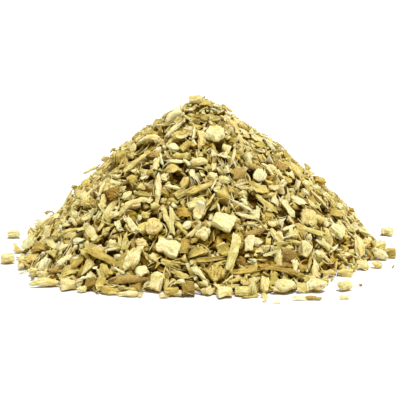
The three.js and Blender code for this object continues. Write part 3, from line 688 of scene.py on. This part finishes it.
# What a handful of the root holds: each kind's shape, share, usual length and greatest length, and
# the ranges of its width as a share of the length, of its depth as a share of the width, and of its
# tone, from 0, the palest pith, to 1, brown wood
Kind = namedtuple("Kind", "shape share length most widths depths tones")
KINDS = {
    "pith_chunk": Kind(chunk, 0.27, 3.9, 7.5, (0.6, 0.95), (0.5, 0.9), (0, 0.55)),
    "crumbly_lump": Kind(crumbly_lump, 0.08, 3.9, 6.5, (0.7, 0.95), (0.6, 0.9), (0, 0.5)),
    "pith_block": Kind(block, 0.08, 3.7, 7, (0.5, 0.85), (0.5, 0.9), (0.05, 0.6)),
    "split_stick": Kind(stick, 0.13, 5.6, 12, (0.2, 0.38), (0.45, 0.9), (0.1, 0.7)),
    "splinter_bundle": Kind(splinters, 0.1, 5.4, 9, (0.3, 0.5), (0.5, 0.9), (0.05, 0.65)),
    "tuft": Kind(tuft, 0.08, 5, 8, (0.45, 0.7), (0.5, 0.9), (0, 0.5)),
    "wood_flake": Kind(flake, 0.15, 4.9, 9, (0.4, 0.8), (0.12, 0.24), (0.1, 0.75)),
    "curled_strip": Kind(curled_strip, 0.06, 5, 8, (0.22, 0.5), (0.14, 0.26), (0, 0.6)),
    "bark_strip": Kind(bark, 0.04, 4.8, 9, (0.4, 0.75), (0.2, 0.32), (0.35, 1)),
    "root_wedge": Kind(wedge, 0.03, 4, 6.5, (0.6, 0.95), (0.35, 0.6), (0.3, 0.85)),
    "crumb": Kind(crumb, 0.3, 1.6, 2.4, (0.6, 1), (0.6, 1), (0, 0.8)),
    "splinter": Kind(stick, 0.7, 3.1, 5.5, (0.12, 0.22), (0.6, 1), (0, 0.6)),
    "fibre": Kind(fibre, 0, 4.4, 9, (0.045, 0.08), (1, 1), (0.1, 0.6)),
}
SMALL_KINDS = ["crumb", "splinter"]
CHIP_KINDS = [kind for kind in KINDS if kind not in SMALL_KINDS + ["fibre"]]
LENGTH_SPREAD = 0.3


def shaped(kind, length, width, fine):
    """A chip of this kind, as deep as such chips are."""
    depth = width * rng.uniform(*KINDS[kind].depths)
    points, faces, skin = KINDS[kind].shape((length, width, depth), fine)
    return dict(kind=kind, points=points, faces=faces, skin=skin, depth=depth)


def make_chip(kind, scale=1.0, fine=ON_TOP):
    facts = KINDS[kind]
    length = min(facts.length * math.exp(rng.normal(0, LENGTH_SPREAD)), facts.most) * scale
    chip = shaped(kind, length, length * rng.uniform(*facts.widths), fine)
    chip["tone"] = rng.uniform(*facts.tones)
    return chip


def skin_samples(chip):
    """Points spread evenly over a chip's skin, which give its height over each cell."""
    corners = [(f[0], f[k], f[k + 1]) for f in chip["faces"] for k in range(1, len(f) - 1)]
    a, b, c = (chip["points"][[t[k] for t in corners]] for k in range(3))
    areas = np.linalg.norm(np.cross(b - a, c - a), axis=1)
    chosen = rng.choice(len(corners), SKIN_SAMPLES, p=areas / areas.sum())
    u, v = rng.random((2, SKIN_SAMPLES, 1))
    u, v = np.where(u + v > 1, 1 - u, u), np.where(u + v > 1, 1 - v, v)
    spread = a[chosen] + u * (b[chosen] - a[chosen]) + v * (c[chosen] - a[chosen])
    return np.vstack([chip["points"], spread])


# Height maps over the footprint, read from the CAD by dropping a line on every cell

mound = frame["nodes"][MOUND]
mound_low, mound_high = (np.array(corner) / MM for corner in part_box(MOUND))
GRID_LOW = mound_low[:2] - MARGIN
GRID_SHAPE = tuple(((mound_high[:2] - mound_low[:2] + 2 * MARGIN) / CELL).astype(int) + 1)
grid_x, grid_y = (GRID_LOW[a] + (np.arange(GRID_SHAPE[a]) + 0.5) * CELL for a in (0, 1))
cell_places = np.stack(np.meshgrid(grid_x, grid_y, [0], indexing="ij"), axis=-1).reshape(-1, 3)


def cell_numbers(x, y):
    i = np.clip(((x - GRID_LOW[0]) / CELL).astype(int), 0, GRID_SHAPE[0] - 1)
    j = np.clip(((y - GRID_LOW[1]) / CELL).astype(int), 0, GRID_SHAPE[1] - 1)
    return i * GRID_SHAPE[1] + j


def heights_of(obj, from_above=True):
    """The object's height over each cell, or its lowest height; nan where it isn't."""
    mesh = obj.data
    tree = BVHTree.FromPolygons([v.co / MM for v in mesh.vertices],
                                [tuple(p.vertices) for p in mesh.polygons])
    low, high = (np.array(corner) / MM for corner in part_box(obj.name))
    start, way = (high[2] + 1, -1) if from_above else (low[2] - 1, 1)
    heights = np.full(GRID_SHAPE, np.nan)
    for i in np.flatnonzero((grid_x > low[0]) & (grid_x < high[0])):
        for j in np.flatnonzero((grid_y > low[1]) & (grid_y < high[1])):
            hit = tree.ray_cast(Vector((grid_x[i], grid_y[j], start)), Vector((0, 0, way)))[0]
            if hit is not None:
                heights[i, j] = hit.z
    return heights.ravel()


def blurred(field, sigma):
    """A map smoothed over sigma millimetres."""
    field = field.reshape(GRID_SHAPE)
    sigma = sigma / CELL
    reach = int(3 * sigma)
    weights = np.exp(-0.5 * (np.arange(-reach, reach + 1) / sigma) ** 2)
    weights /= weights.sum()
    for axis in (0, 1):
        edges = [(reach, reach) if a == axis else (0, 0) for a in (0, 1)]
        padded = np.pad(field, edges)
        field = sum(weight * np.take(padded, np.arange(k, k + field.shape[axis]), axis=axis)
                    for k, weight in enumerate(weights))
    return field.ravel()


mound_heights = heights_of(mound)
inside = ~np.isnan(mound_heights)
outer_form = np.where(inside, blurred(np.where(inside, mound_heights, 0), FORM_BLUR), 0)
slope_x, slope_y = (part.ravel() for part in
                    np.gradient(blurred(outer_form, SLOPE_BLUR).reshape(GRID_SHAPE), CELL))
reachable = blurred(inside.astype(float), EDGE_BLUR) > EDGE_SHARE
flank = unit(cell_places[:, :2] - HEAP_AXIS)[:, 0] ** 4  # 1 left and right of the heap, 0 in front
target = outer_form + RELIEF * noise(cell_places / RELIEF_SPACING)
target = np.where(reachable, np.maximum(target, RIM_FILL), 0)
ceiling = np.where(reachable, np.maximum(target + TIP_ALLOWANCE, RIM_CHIP_HEIGHT), RIM_CHIP_HEIGHT)
top = np.maximum(outer_form - CORE_DEPTH, 0)  # how high the heap is so far, over each cell
crest = np.zeros(len(top))  # the same for the chips that are in place before the others fall
tired = np.zeros(len(top))
named = [name for name in frame["nodes"] if name != MOUND]
slots = {part["node"]: part["material_slot"] for part in frame["record"]["subparts"]}
for name in named:
    underside = heights_of(frame["nodes"][name], from_above=False)
    ceiling = np.fmin(ceiling, underside + BURY_LIMIT)
    crest = np.fmax(crest, heights_of(frame["nodes"][name]))


def footprint(turned, x, y):
    """The cells that a chip covers at x, y, and its lowest and highest point over each."""
    numbers = cell_numbers(turned[:, 0] + x, turned[:, 1] + y)
    order = np.argsort(numbers, kind="stable")
    numbers, heights = numbers[order], turned[order, 2]
    starts = np.flatnonzero(np.r_[True, numbers[1:] != numbers[:-1]])
    return numbers[starts], np.minimum.reduceat(heights, starts), np.maximum.reduceat(heights, starts)


def slope_normal(cell):
    return np.array([-slope_x[cell], -slope_y[cell], 1])


def settle(samples, x, y, lean):
    """How a chip would lie if it fell at x, y: its rotation, height, cells and how well it fits."""
    normal = slope_normal(cell_numbers(x, y)) + rng.normal(0, lean, 3) * (1, 1, 0)
    rotation = rotation_to(normal, rng.uniform(0, 2 * math.pi))
    cells, low, high = footprint(samples @ rotation.T, x, y)
    gaps = np.sort(top[cells] - low)
    rest = max(gaps[int(SETTLE_SHARE * (len(gaps) - 1))], -low.min())
    over = (rest + high - ceiling[cells]).max()
    hollow = np.maximum(rest + low - top[cells], 0).mean()
    return dict(middle=np.array([x, y, rest]), rotation=rotation, cells=cells, crown=rest + high,
                over=over, badness=HOLLOW_COST * hollow + OVERSHOOT_COST * max(over, 0))


def drop(chip, x, y, lean=LEAN, limit=OVERSHOOT_LIMIT):
    """Drops a chip near x, y. It is placed only where it stays under the ceiling."""
    samples = skin_samples(chip)
    places = [settle(samples, x + rng.normal(0, WANDER), y + rng.normal(0, WANDER), lean)
              for _ in range(TRIES)]
    best = min(places, key=lambda place: place["badness"])
    if best["over"] > limit:
        return False
    top[best["cells"]] = np.maximum(top[best["cells"]], best["crown"])
    chip["middle"], chip["rotation"] = best["middle"], best["rotation"]
    return True


def fill_heap(count, kinds, fine=ON_TOP):
    """Drops chips where the heap is low, until it has reached its form."""
    chips = []
    shares = np.array([KINDS[kind].share for kind in kinds])
    shares /= shares.sum()
    open_cells = np.flatnonzero(reachable)
    summit = outer_form.max()
    for _ in range(count * ATTEMPTS_EACH):
        offered = rng.choice(open_cells, CANDIDATE_CELLS)
        wanted = (np.minimum(target[offered], ceiling[offered]) - top[offered]) / (1 + tired[offered])
        cell = offered[np.argmax(wanted)]
        x, y = cell_places[cell, :2]
        scale = FOOT_SCALE - (FOOT_SCALE - SUMMIT_SCALE) * outer_form[cell] / summit
        scale *= 1 + FLANK_GROWTH * flank[cell]
        chip = make_chip(kinds[rng.choice(len(kinds), p=shares)], scale, fine)
        if drop(chip, x, y):
            chips.append(chip)
        else:
            near_x, near_y = rng.normal(0, TIRED_REACH, (2, TIRED_CELLS))
            tired[cell_numbers(x + near_x, y + near_y)] += TIRED_STEP
        if len(chips) == count:
            break
    return chips


def scatter_apron():
    """Single chips that rolled a little way past the foot."""
    chips = []
    edge = np.flatnonzero(inside & (target < APRON_EDGE))
    for _ in range(APRON_CHIPS):
        start = cell_places[rng.choice(edge), :2]
        spot = start + unit(start - HEAP_AXIS) * abs(rng.normal(0, APRON_SPREAD))
        kind = rng.choice(list(APRON_KINDS), p=list(APRON_KINDS.values()))
        chip = make_chip(kind, APRON_SCALE)
        if drop(chip, *spot, APRON_LEAN, APRON_RISE):
            chips.append(chip)
    return chips


def lay_fibres():
    fibres = []
    open_cells = np.flatnonzero(inside & (flank < FIBRE_FLANK))
    for _ in range(FIBRE_COUNT):
        x, y = cell_places[rng.choice(open_cells), :2]
        chip = make_chip("fibre")
        if drop(chip, x, y, FIBRE_LEAN, FIBRE_RISE):
            fibres.append(chip)
    return fibres


# The chips and gaps that are placed as the photograph shows them

# Lines of sight: how near one passes to the heap to graze its edge, how far from the heap the table
# counts, and how far before and behind the heap a line is followed, in what steps
EDGE_CLEARANCE = 2.5
TABLE_REACH = 80
SIGHT_REACH = 110
SIGHT_STEP = 0.2


def line_of_sight(across, down):
    pixel = VIEW_WIDTH / PICTURE_PIXELS
    half = PICTURE_PIXELS / 2
    aside = (across - half) * pixel * rightward + (half - down) * pixel * upward
    return unit(EYE_DISTANCE * forward + aside)


def seen_place(across, down):
    """Where a line of sight meets the heap, grazes its edge or meets the table."""
    way = line_of_sight(across, down)
    steps = np.arange(EYE_DISTANCE - SIGHT_REACH, EYE_DISTANCE + SIGHT_REACH, SIGHT_STEP)
    line = eye + steps[:, None] * way
    form = outer_form[cell_numbers(line[:, 0], line[:, 1])]
    clear = np.where(form > 0, line[:, 2] - form, np.inf)
    on_table = line[np.argmin(np.abs(line[:, 2]))]
    if clear.min() > EDGE_CLEARANCE and math.dist(on_table, heap_middle) < TABLE_REACH:
        return on_table
    below = np.flatnonzero(clear < 0)
    return line[below[0] if len(below) else np.argmin(clear)]


def lay_seen_chip(kind, across, down, length, width, tone, turn=0):
    """A chip half turned to the eye, which later chips may touch but not cover."""
    place, way = seen_place(across, down), line_of_sight(across, down)
    cell = cell_numbers(*place[:2])
    normal = unit(slope_normal(cell))
    facing = unit(normal - FACE_THE_EYE * way)
    turn = math.radians(turn)
    along = math.cos(turn) * rightward + math.sin(turn) * upward
    along = unit(along - facing * (along @ facing))
    rotation = np.column_stack([along, np.cross(facing, along), facing])
    chip = shaped(kind, length, width, BY_EYE)
    middle = place + facing * (STAND_OUT - chip["depth"] / 2)
    if outer_form[cell] > SLIDE_ABOVE:
        middle -= way * SLIDE_TO_EYE * (1 + way @ normal)
    turned = skin_samples(chip) @ rotation.T
    lift = max(-turned[:, 2].min() - middle[2], 0)
    middle += way * lift / way[2]
    cells, low, high = footprint(turned, *middle[:2])
    ceiling[cells] = np.minimum(ceiling[cells], middle[2] + low + BURY_LIMIT)
    crest[cells] = np.maximum(crest[cells], middle[2] + high)
    return chip | dict(tone=tone, middle=middle, rotation=rotation)


def lower_ceiling(x, y, radius, limit):
    """Keeps the chips that fall round a place under a limit."""
    near = np.hypot(cell_places[:, 0] - x, cell_places[:, 1] - y) < radius
    ceiling[near] = np.minimum(ceiling, limit)[near]


# Meshes

SHARP_ANGLE = 18
GRAIN_RANGE = 400  # each chip starts at its own place in the textures, up to so far out


def new_object(name, data):
    obj = bpy.data.objects.new(name, data)
    bpy.context.scene.collection.objects.link(obj)
    return obj


def add_attributes(mesh, points, grain, tone, skin):
    """What the material reads: fibre coordinates, tone, bark, and how far light is shut out."""
    cells = cell_numbers(points[:, 0], points[:, 1])
    # Painted shade: how far each point lies under the heap's form, and under the blurred top of the chips
    # round it
    depth = np.clip((outer_form[cells] - points[:, 2]) / SHADE_DEPTH, 0, 1)
    crevice_shade = np.clip((surround[cells] - points[:, 2]) / CREVICE_DEPTH, 0, 1)
    mesh.attributes.new("grain", "FLOAT_VECTOR", "POINT").data.foreach_set("vector", grain.ravel())
    for name, values in (("depth", depth), ("crevice_shade", crevice_shade), ("tone", tone), ("bark", skin)):
        mesh.attributes.new(name, "FLOAT", "POINT").data.foreach_set("value", values)


def finish_chips(mesh, *attributes):
    """An object of chips, smooth over their faces and sharp at their edges."""
    add_attributes(mesh, *attributes)
    mesh.shade_smooth()
    mesh.set_sharp_from_angle(angle=math.radians(SHARP_ANGLE))
    return new_object(mesh.name, mesh)


def mesh_piece(name, parts):
    """One joined mesh of many closed shapes, with what their material reads."""
    points, faces, skin = joined([(part["points"] @ part["rotation"].T + part["middle"],
                                   part["faces"], part["skin"]) for part in parts])
    grain = np.vstack([part["points"] + rng.uniform(0, GRAIN_RANGE, 3) for part in parts])
    tone = np.concatenate([np.full(len(part["points"]), part["tone"]) for part in parts])
    mesh = bpy.data.meshes.new(name)
    mesh.from_pydata((points * MM).tolist(), [], faces)
    return finish_chips(mesh, points, grain, tone, skin)


# The core: how finely it is divided, how far and how low it goes, and its even tone
CORE_SECTORS = 72
CORE_RINGS = 22
CORE_REACH = 90
CORE_GAP = 0.4
CORE_EDGE = 0.5
CORE_FOOT = 0.05
CORE_TONE = 0.6


def packed_core():
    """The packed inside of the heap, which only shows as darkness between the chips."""
    height = np.maximum(target - CORE_DEPTH - CORE_GAP, 0)
    angle = ring_angles(CORE_SECTORS)
    c, s = np.cos(angle), np.sin(angle)
    ray = np.arange(0, CORE_REACH, CELL)[:, None]
    reach = (ray * (height[cell_numbers(ray * c, ray * s)] > CORE_EDGE)).max(axis=0)
    radius = reach * np.arange(1, CORE_RINGS + 1)[:, None] / CORE_RINGS
    x, y = radius * c, radius * s
    z = np.maximum(height[cell_numbers(x, y)], CORE_EDGE)
    foot = np.column_stack([x[-1], y[-1], np.full(CORE_SECTORS, CORE_FOOT)])
    points = np.vstack([(0, 0, height[cell_numbers(0, 0)]), *np.dstack([x, y, z]), foot])
    grid = 1 + np.arange(len(points) - 1).reshape(-1, CORE_SECTORS)
    beside = np.roll(grid, -1, axis=1)
    faces = [(0, a, b) for a, b in zip(grid[0].tolist(), beside[0].tolist())]
    faces += np.dstack([grid[:-1], grid[1:], beside[1:], beside[:-1]]).reshape(-1, 4).tolist()
    faces.append(grid[-1, ::-1].tolist())
    mesh = bpy.data.meshes.new("packed_core")
    mesh.from_pydata((points * MM).tolist(), [], faces)
    add_attributes(mesh, points, points, np.full(len(points), CORE_TONE), bare_skin(points))
    return new_object("packed_core", mesh)


# The CAD's larger chips, with broken edges and a finer surface on the same form

FINE_EDGE = 0.5
RIBBED_EDGE = 0.3
SPLIT_PASSES = 6
WELD = 0.01
NAMED_TONES = {"pith": (0.14, 0.36), "wood": (0.4, 0.7), "bark": (0.75, 1)}
BRIGHT_TONES = (0, 0.14)
BRIGHT_WORDS = ("bright", "cube")
SEEN_TONES = {"oval_flake_left": BROWN, "root_wedge_upper_left": OLIVE, "root_disc_left": TAN,
              "brown_lump": DARK, "fibrous_lump": PALE, "pale_lump_upper": CREAM,
              "round_chunk_front_right": CREAM, "loose_round_chunk_right": CREAM}
BENT_WORDS = ("bent", "curl", "strip", "split")
LUMP_WORDS = ("lump", "round", "knuckle")
LEAF_TAPER = 0.7
LEAF_WORDS = ("long_chip", "flake", "flat_chip_front")
RIB_WORDS = ("wedge", "disc", "brown_lump")
RIB_SPACING = 1.2
RIB_HEIGHT = 0.15
RIB_TONE = 0.2
SWELL = 0.25  # how unevenly wide they are along their length
LONG_TEAR = 0.12
SHORT_TEAR = 0.03

# Bumps on their skin: height in millimetres, how closely they lie along and across the fibres, and
# a shift that sets the layers apart
RIDGES = [(0.1, (0.3, 1.4, 1.4), 0), (0.09, (0.5, 2.6, 2.6), 0)]
CREASES = [(1, (0.25, 0.9, 0.9), 13)]
CREASE_DEPTH = 0.4
CREASE_SHARE = 0.28
LUMPS = [(0.17, (0.5, 0.8, 0.8), 7), (0.08, (1.8, 1.8, 1.8), 9)]
KNOBS = [(0.5, (0.9, 0.9, 0.9), 3), (0.3, (1.7, 1.7, 1.7), 11)]
ROUGHNESS = 0.03


def has_word(name, words):
    return any(word in name for word in words)


def bumps(points, layers):
    return sum(height * noise(points * close + shift) for height, close, shift in layers)


def tone_of(name):
    """The tone that the photograph shows for some chips, or one from the range of their kind."""
    drawn = rng.uniform(*(BRIGHT_TONES if has_word(name, BRIGHT_WORDS) else NAMED_TONES[slots[name]]))
    return SEEN_TONES.get(name, drawn)


def cut_edges(bm, middle, axes, half, count, nearest):
    """Breaks the corners and edges off along planes at odd angles."""
    for normal, distance in zip(unit(rng.normal(0, 1, (count, 3))), rng.uniform(nearest, 1.05, count)):
        cut = bmesh.ops.bisect_plane(bm, geom=bm.verts[:] + bm.edges[:] + bm.faces[:],
                                     plane_co=middle + (half * normal * distance) @ axes,
                                     plane_no=(normal / half) @ axes, clear_outer=True)
        rim = [part for part in cut["geom_cut"] if isinstance(part, bmesh.types.BMEdge)]
        bmesh.ops.holes_fill(bm, edges=rim)


def broken_form(name):
    """A CAD chip with broken edges, in small triangles, and its middle, its axes and half its size."""
    bm = bmesh.new()
    bm.from_mesh(frame["nodes"][name].data)
    bmesh.ops.scale(bm, vec=(1 / MM,) * 3, verts=bm.verts)
    bmesh.ops.remove_doubles(bm, verts=bm.verts, dist=WELD)
    corners = np.array([vertex.co for vertex in bm.verts])
    middle = corners.mean(axis=0)
    axes = np.linalg.svd(corners - middle, full_matrices=False)[2]
    half = np.abs((corners - middle) @ axes.T).max(axis=0)
    if has_word(name, LUMP_WORDS):
        cut_edges(bm, middle, axes, half, count=22, nearest=0.74)
    elif not has_word(name, BENT_WORDS):
        cut_edges(bm, middle, axes, half, count=9, nearest=0.78)
    bmesh.ops.triangulate(bm, faces=bm.faces)
    points, faces = taken_out(bm)
    longest = RIBBED_EDGE if has_word(name, RIB_WORDS) else FINE_EDGE
    for _ in range(SPLIT_PASSES):
        points, faces = split_faces(points, faces, longest=longest)
    return points, faces, middle, axes, half


def refined(name):
    """A CAD chip with broken edges, torn ends, ridges and creases along its fibres, and lumps."""
    points, faces, middle, axes, half = broken_form(name)
    mesh = bpy.data.meshes.new(name + "_fine")
    mesh.from_pydata(points.tolist(), [], faces)
    normals = np.array([vertex.normal for vertex in mesh.vertices])
    grain = (points - middle) @ axes.T
    seeded = grain + rng.uniform(0, GRAIN_RANGE, 3)
    share = grain / half
    share[:, 1:] *= 1 + SWELL * noise(seeded * (0.35, 0, 0))[:, None]
    if has_word(name, LEAF_WORDS):
        share[:, 1:] *= 1 - LEAF_TAPER * np.abs(grain[:, :1] / half[0]) ** 2
    torn = np.clip(np.abs(share[:, 0]) * 3 - 2, 0, 1)
    tear = LONG_TEAR if half[0] > 1.5 * half[1] else SHORT_TEAR
    share[:, 0] += np.sign(share[:, 0]) * torn * tear * noise(seeded * (0, 1.8, 1.8))
    creases = CREASE_DEPTH * (np.abs(bumps(seeded, CREASES)) - CREASE_SHARE)
    push = bumps(seeded, RIDGES + LUMPS) + creases + rng.normal(0, ROUGHNESS, len(points))
    if has_word(name, LUMP_WORDS):
        push += bumps(seeded, KNOBS)
    tone = np.full(len(points), tone_of(name))
    if has_word(name, RIB_WORDS):
        ribs = np.cos((grain[:, 0] / RIB_SPACING + 0.8 * noise(seeded * 0.5)) * 2 * math.pi)
        ribs *= 0.6 + 0.8 * noise(seeded * 0.6 + 5)
        push += RIB_HEIGHT * ribs
        tone -= RIB_TONE * ribs
    points = (share * half) @ axes + middle + normals * push[:, None]
    points[:, 2] = np.maximum(points[:, 2], 0)
    mesh.vertices.foreach_set("co", (points * MM).ravel())
    return finish_chips(mesh, points, seeded, tone, bare_skin(points))


# Materials

def srgb(red, green, blue):
    return tuple((c / 255 / 12.92 if c <= 10 else ((c / 255 + 0.055) / 1.055) ** 2.4)
                 for c in (red, green, blue)) + (1,)


def grey(value):
    return (value, value, value, 1)


TONES = [(0, srgb(249, 244, 203)), (0.25, srgb(241, 230, 172)), (0.5, srgb(221, 203, 121)),
         (0.75, srgb(190, 166, 88)), (1, srgb(153, 126, 60))]
HUES = [(0.38, srgb(246, 251, 239)), (0.5, grey(1)), (0.62, srgb(255, 245, 223))]
STREAKS = [(0.3, srgb(190, 167, 108)), (0.5, srgb(248, 243, 228)), (0.7, grey(1.12))]
PORES = [(0.31, srgb(164, 136, 72)), (0.45, grey(1))]
BARK = [(0.3, srgb(130, 104, 50)), (0.5, srgb(178, 148, 80)), (0.72, srgb(214, 188, 118))]
SHEEN = [(0.3, grey(0.95)), (0.7, grey(0.72))]
# Painted shade: colours that multiply the root's colour in crevices and deep in the heap
CREVICE_SHADE_TINT = srgb(188, 167, 88)
DEEP_SHADE_TINT = srgb(140, 115, 38)
# Painted shade on the hidden core, which only shows between the chips
CORE_SHADE_TINT = srgb(176, 160, 60)


class Nodes:
    """Adds nodes to a material and links them, a line to each."""

    def __init__(self, material):
        self.tree = material.node_tree
        self.tree.nodes.clear()

    def add(self, kind, inputs, **settings):
        node = self.tree.nodes.new(kind)
        for key, value in settings.items():
            setattr(node, key, value)
        for key, value in inputs.items():
            if isinstance(value, bpy.types.NodeSocket):
                self.tree.links.new(value, node.inputs[key])
            else:
                node.inputs[key].default_value = value
        return node

    def attribute(self, name, output="Fac"):
        return self.add("ShaderNodeAttribute", {}, attribute_name=name).outputs[output]

    def noise(self, vector, scale, detail, roughness=0.5):
        inputs = {"Vector": vector, "Scale": scale, "Detail": detail, "Roughness": roughness}
        return self.add("ShaderNodeTexNoise", inputs).outputs[0]

    def mix(self, share, a, b, blend="MULTIPLY"):
        inputs = {0: share, 6: a, 7: b}
        return self.add("ShaderNodeMix", inputs, data_type="RGBA", blend_type=blend).outputs[2]

    def ramp(self, value, stops):
        node = self.add("ShaderNodeValToRGB", {"Fac": value})
        elements = node.color_ramp.elements
        while len(elements) < len(stops):
            elements.new(0.5)
        for element, (place, colour) in zip(elements, stops):
            element.position = place
            element.color = colour
        return node.outputs["Color"]

    def maths(self, operation, a, b):
        return self.add("ShaderNodeMath", {0: a, 1: b}, operation=operation).outputs[0]


def root_material(name, deep_shade_tint):
    """Dried root: fibres along the grain, warmer patches, pores, brown bark where it is skin, and painted
    shade in crevices and deep in the heap.
    """
    material = bpy.data.materials.new(name)
    material.use_nodes = True
    nodes = Nodes(material)
    grain = nodes.attribute("grain", "Vector")
    depth = nodes.maths("POWER", nodes.attribute("depth"), 2)
    along = nodes.add("ShaderNodeMapping", {"Vector": grain, "Scale": (0.22, 1, 1)}).outputs[0]
    fibres = nodes.noise(along, 1.7, 5, 0.7)
    patches = nodes.noise(grain, 0.45, 3, 0.6)
    pits = nodes.noise(grain, 2.2, 4, 0.7)
    warmth = nodes.noise(grain, 0.07, 1)
    patch_tone = nodes.maths("MULTIPLY", nodes.maths("SUBTRACT", patches, 0.5), 0.8)
    colour = nodes.ramp(nodes.maths("ADD", nodes.attribute("tone"), patch_tone), TONES)
    for share, value, stops in ((0.8, warmth, HUES), (0.75, fibres, STREAKS), (0.7, pits, PORES)):
        colour = nodes.mix(share, colour, nodes.ramp(value, stops))
    colour = nodes.mix(nodes.attribute("bark"), colour, nodes.ramp(pits, BARK), blend="MIX")
    # Painted shade: darker, more saturated colour in the crevices and deep in the heap
    colour = nodes.mix(nodes.attribute("crevice_shade"), colour, CREVICE_SHADE_TINT)
    colour = nodes.mix(depth, colour, deep_shade_tint)
    height = nodes.maths("ADD", nodes.maths("MULTIPLY", fibres, 1.2), pits)
    bump = nodes.add("ShaderNodeBump", {"Height": height, "Strength": 0.7, "Distance": 0.0003})
    shader = nodes.add("ShaderNodeBsdfPrincipled", {
        "Base Color": colour, "Roughness": nodes.ramp(fibres, SHEEN), "Normal": bump.outputs[0],
        "Specular IOR Level": 0.12, "Subsurface Weight": 0.35, "Subsurface Scale": 1.2 * MM,
        "Subsurface Radius": (1, 0.75, 0.35)})
    nodes.add("ShaderNodeOutputMaterial", {"Surface": shader.outputs[0]})
    return material


# Building the object

chips = [lay_seen_chip(kind, *facts) for kind, rows in SEEN_CHIPS.items() for facts in rows]
for across, down, radius in SEEN_GAPS:
    lower_ceiling(*seen_place(across, down)[:2], radius, outer_form - GAP_DEPTH)
bare_limit = np.where(inside, np.maximum(outer_form + BARE_HEIGHT, BARE_FOOT), BARE_HEIGHT)
for place in BARE_PLACES:
    lower_ceiling(*place, bare_limit)
chips += fill_heap(UNDER_CHIPS, CHIP_KINDS, UNDER)
chips += fill_heap(TOP_CHIPS, CHIP_KINDS)
chips += fill_heap(SMALL_BITS, SMALL_KINDS, UNDER)
chips += scatter_apron()
chips += lay_fibres()
# The blurred top of the heap, under which the painted shade in crevices grows
surround = blurred(np.maximum(crest, top), CREVICE_REACH)

dried_root = root_material("dried_root", DEEP_SHADE_TINT)
MOST_FACES = 90000  # a kind with more faces is split into several pieces
for kind in KINDS:
    members = [chip for chip in chips if chip["kind"] == kind]
    faces = sum(len(chip["faces"]) for chip in members)
    groups = math.ceil(faces / MOST_FACES)
    for k in range(groups):
        label = kind + "s" if groups == 1 else f"{kind}s_{k + 1}"
        piece = mesh_piece(label, members[k::groups])
        piece.data.materials.append(dried_root)
        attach(piece, "root")
        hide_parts(MOUND)

core = packed_core()
core.data.materials.append(root_material("shaded_root", CORE_SHADE_TINT))
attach(core, "root")
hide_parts(MOUND)

for name in named:
    piece = refined(name)
    piece.data.materials.append(dried_root)
    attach(piece, "root")
    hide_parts(name)


# Floor, light and camera

FLOOR_HALF = 4
FLOOR_GREY = 0.86
KEY_WAY = (0.15, -0.3, 1)
KEY_STRENGTH = 3.4
KEY_SOFTNESS = 20
WORLD_STRENGTH = 0.46


def add_floor():
    mesh = bpy.data.meshes.new("floor")
    corners = [(x * FLOOR_HALF, y * FLOOR_HALF, 0) for x, y in ((-1, -1), (1, -1), (1, 1), (-1, 1))]
    mesh.from_pydata(corners, [], [(0, 1, 2, 3)])
    material = bpy.data.materials.new("floor")
    material.use_nodes = True
    shader = material.node_tree.nodes["Principled BSDF"]
    shader.inputs["Base Color"].default_value = grey(FLOOR_GREY)
    shader.inputs["Roughness"].default_value = 0.9
    mesh.materials.append(material)
    floor = new_object("floor", mesh)


def add_key_light():
    """A soft sun from far away: the heap and the whole floor get the same light."""
    light = bpy.data.lights.new("key", "SUN")
    light.energy = KEY_STRENGTH
    light.angle = math.radians(KEY_SOFTNESS)
    new_object("key", light).rotation_euler = Vector(KEY_WAY).to_track_quat("Z", "Y").to_euler()


def add_world():
    world = bpy.data.worlds.new("studio")
    world.use_nodes = True
    background = world.node_tree.nodes["Background"]
    background.inputs["Color"].default_value = grey(1)
    background.inputs["Strength"].default_value = WORLD_STRENGTH
    bpy.context.scene.world = world


def add_camera():
    camera = bpy.data.cameras.new("camera")
    camera.sensor_width = SENSOR
    camera.lens = SENSOR * EYE_DISTANCE / VIEW_WIDTH
    camera.clip_start = 0.01
    obj = new_object("camera", camera)
    obj.location = eye * MM
    obj.rotation_euler = Vector(forward).to_track_quat("-Z", "Y").to_euler()
    bpy.context.scene.camera = obj


add_floor()
add_key_light()
add_world()
add_camera()
bpy.context.scene.view_settings.view_transform = "Standard"
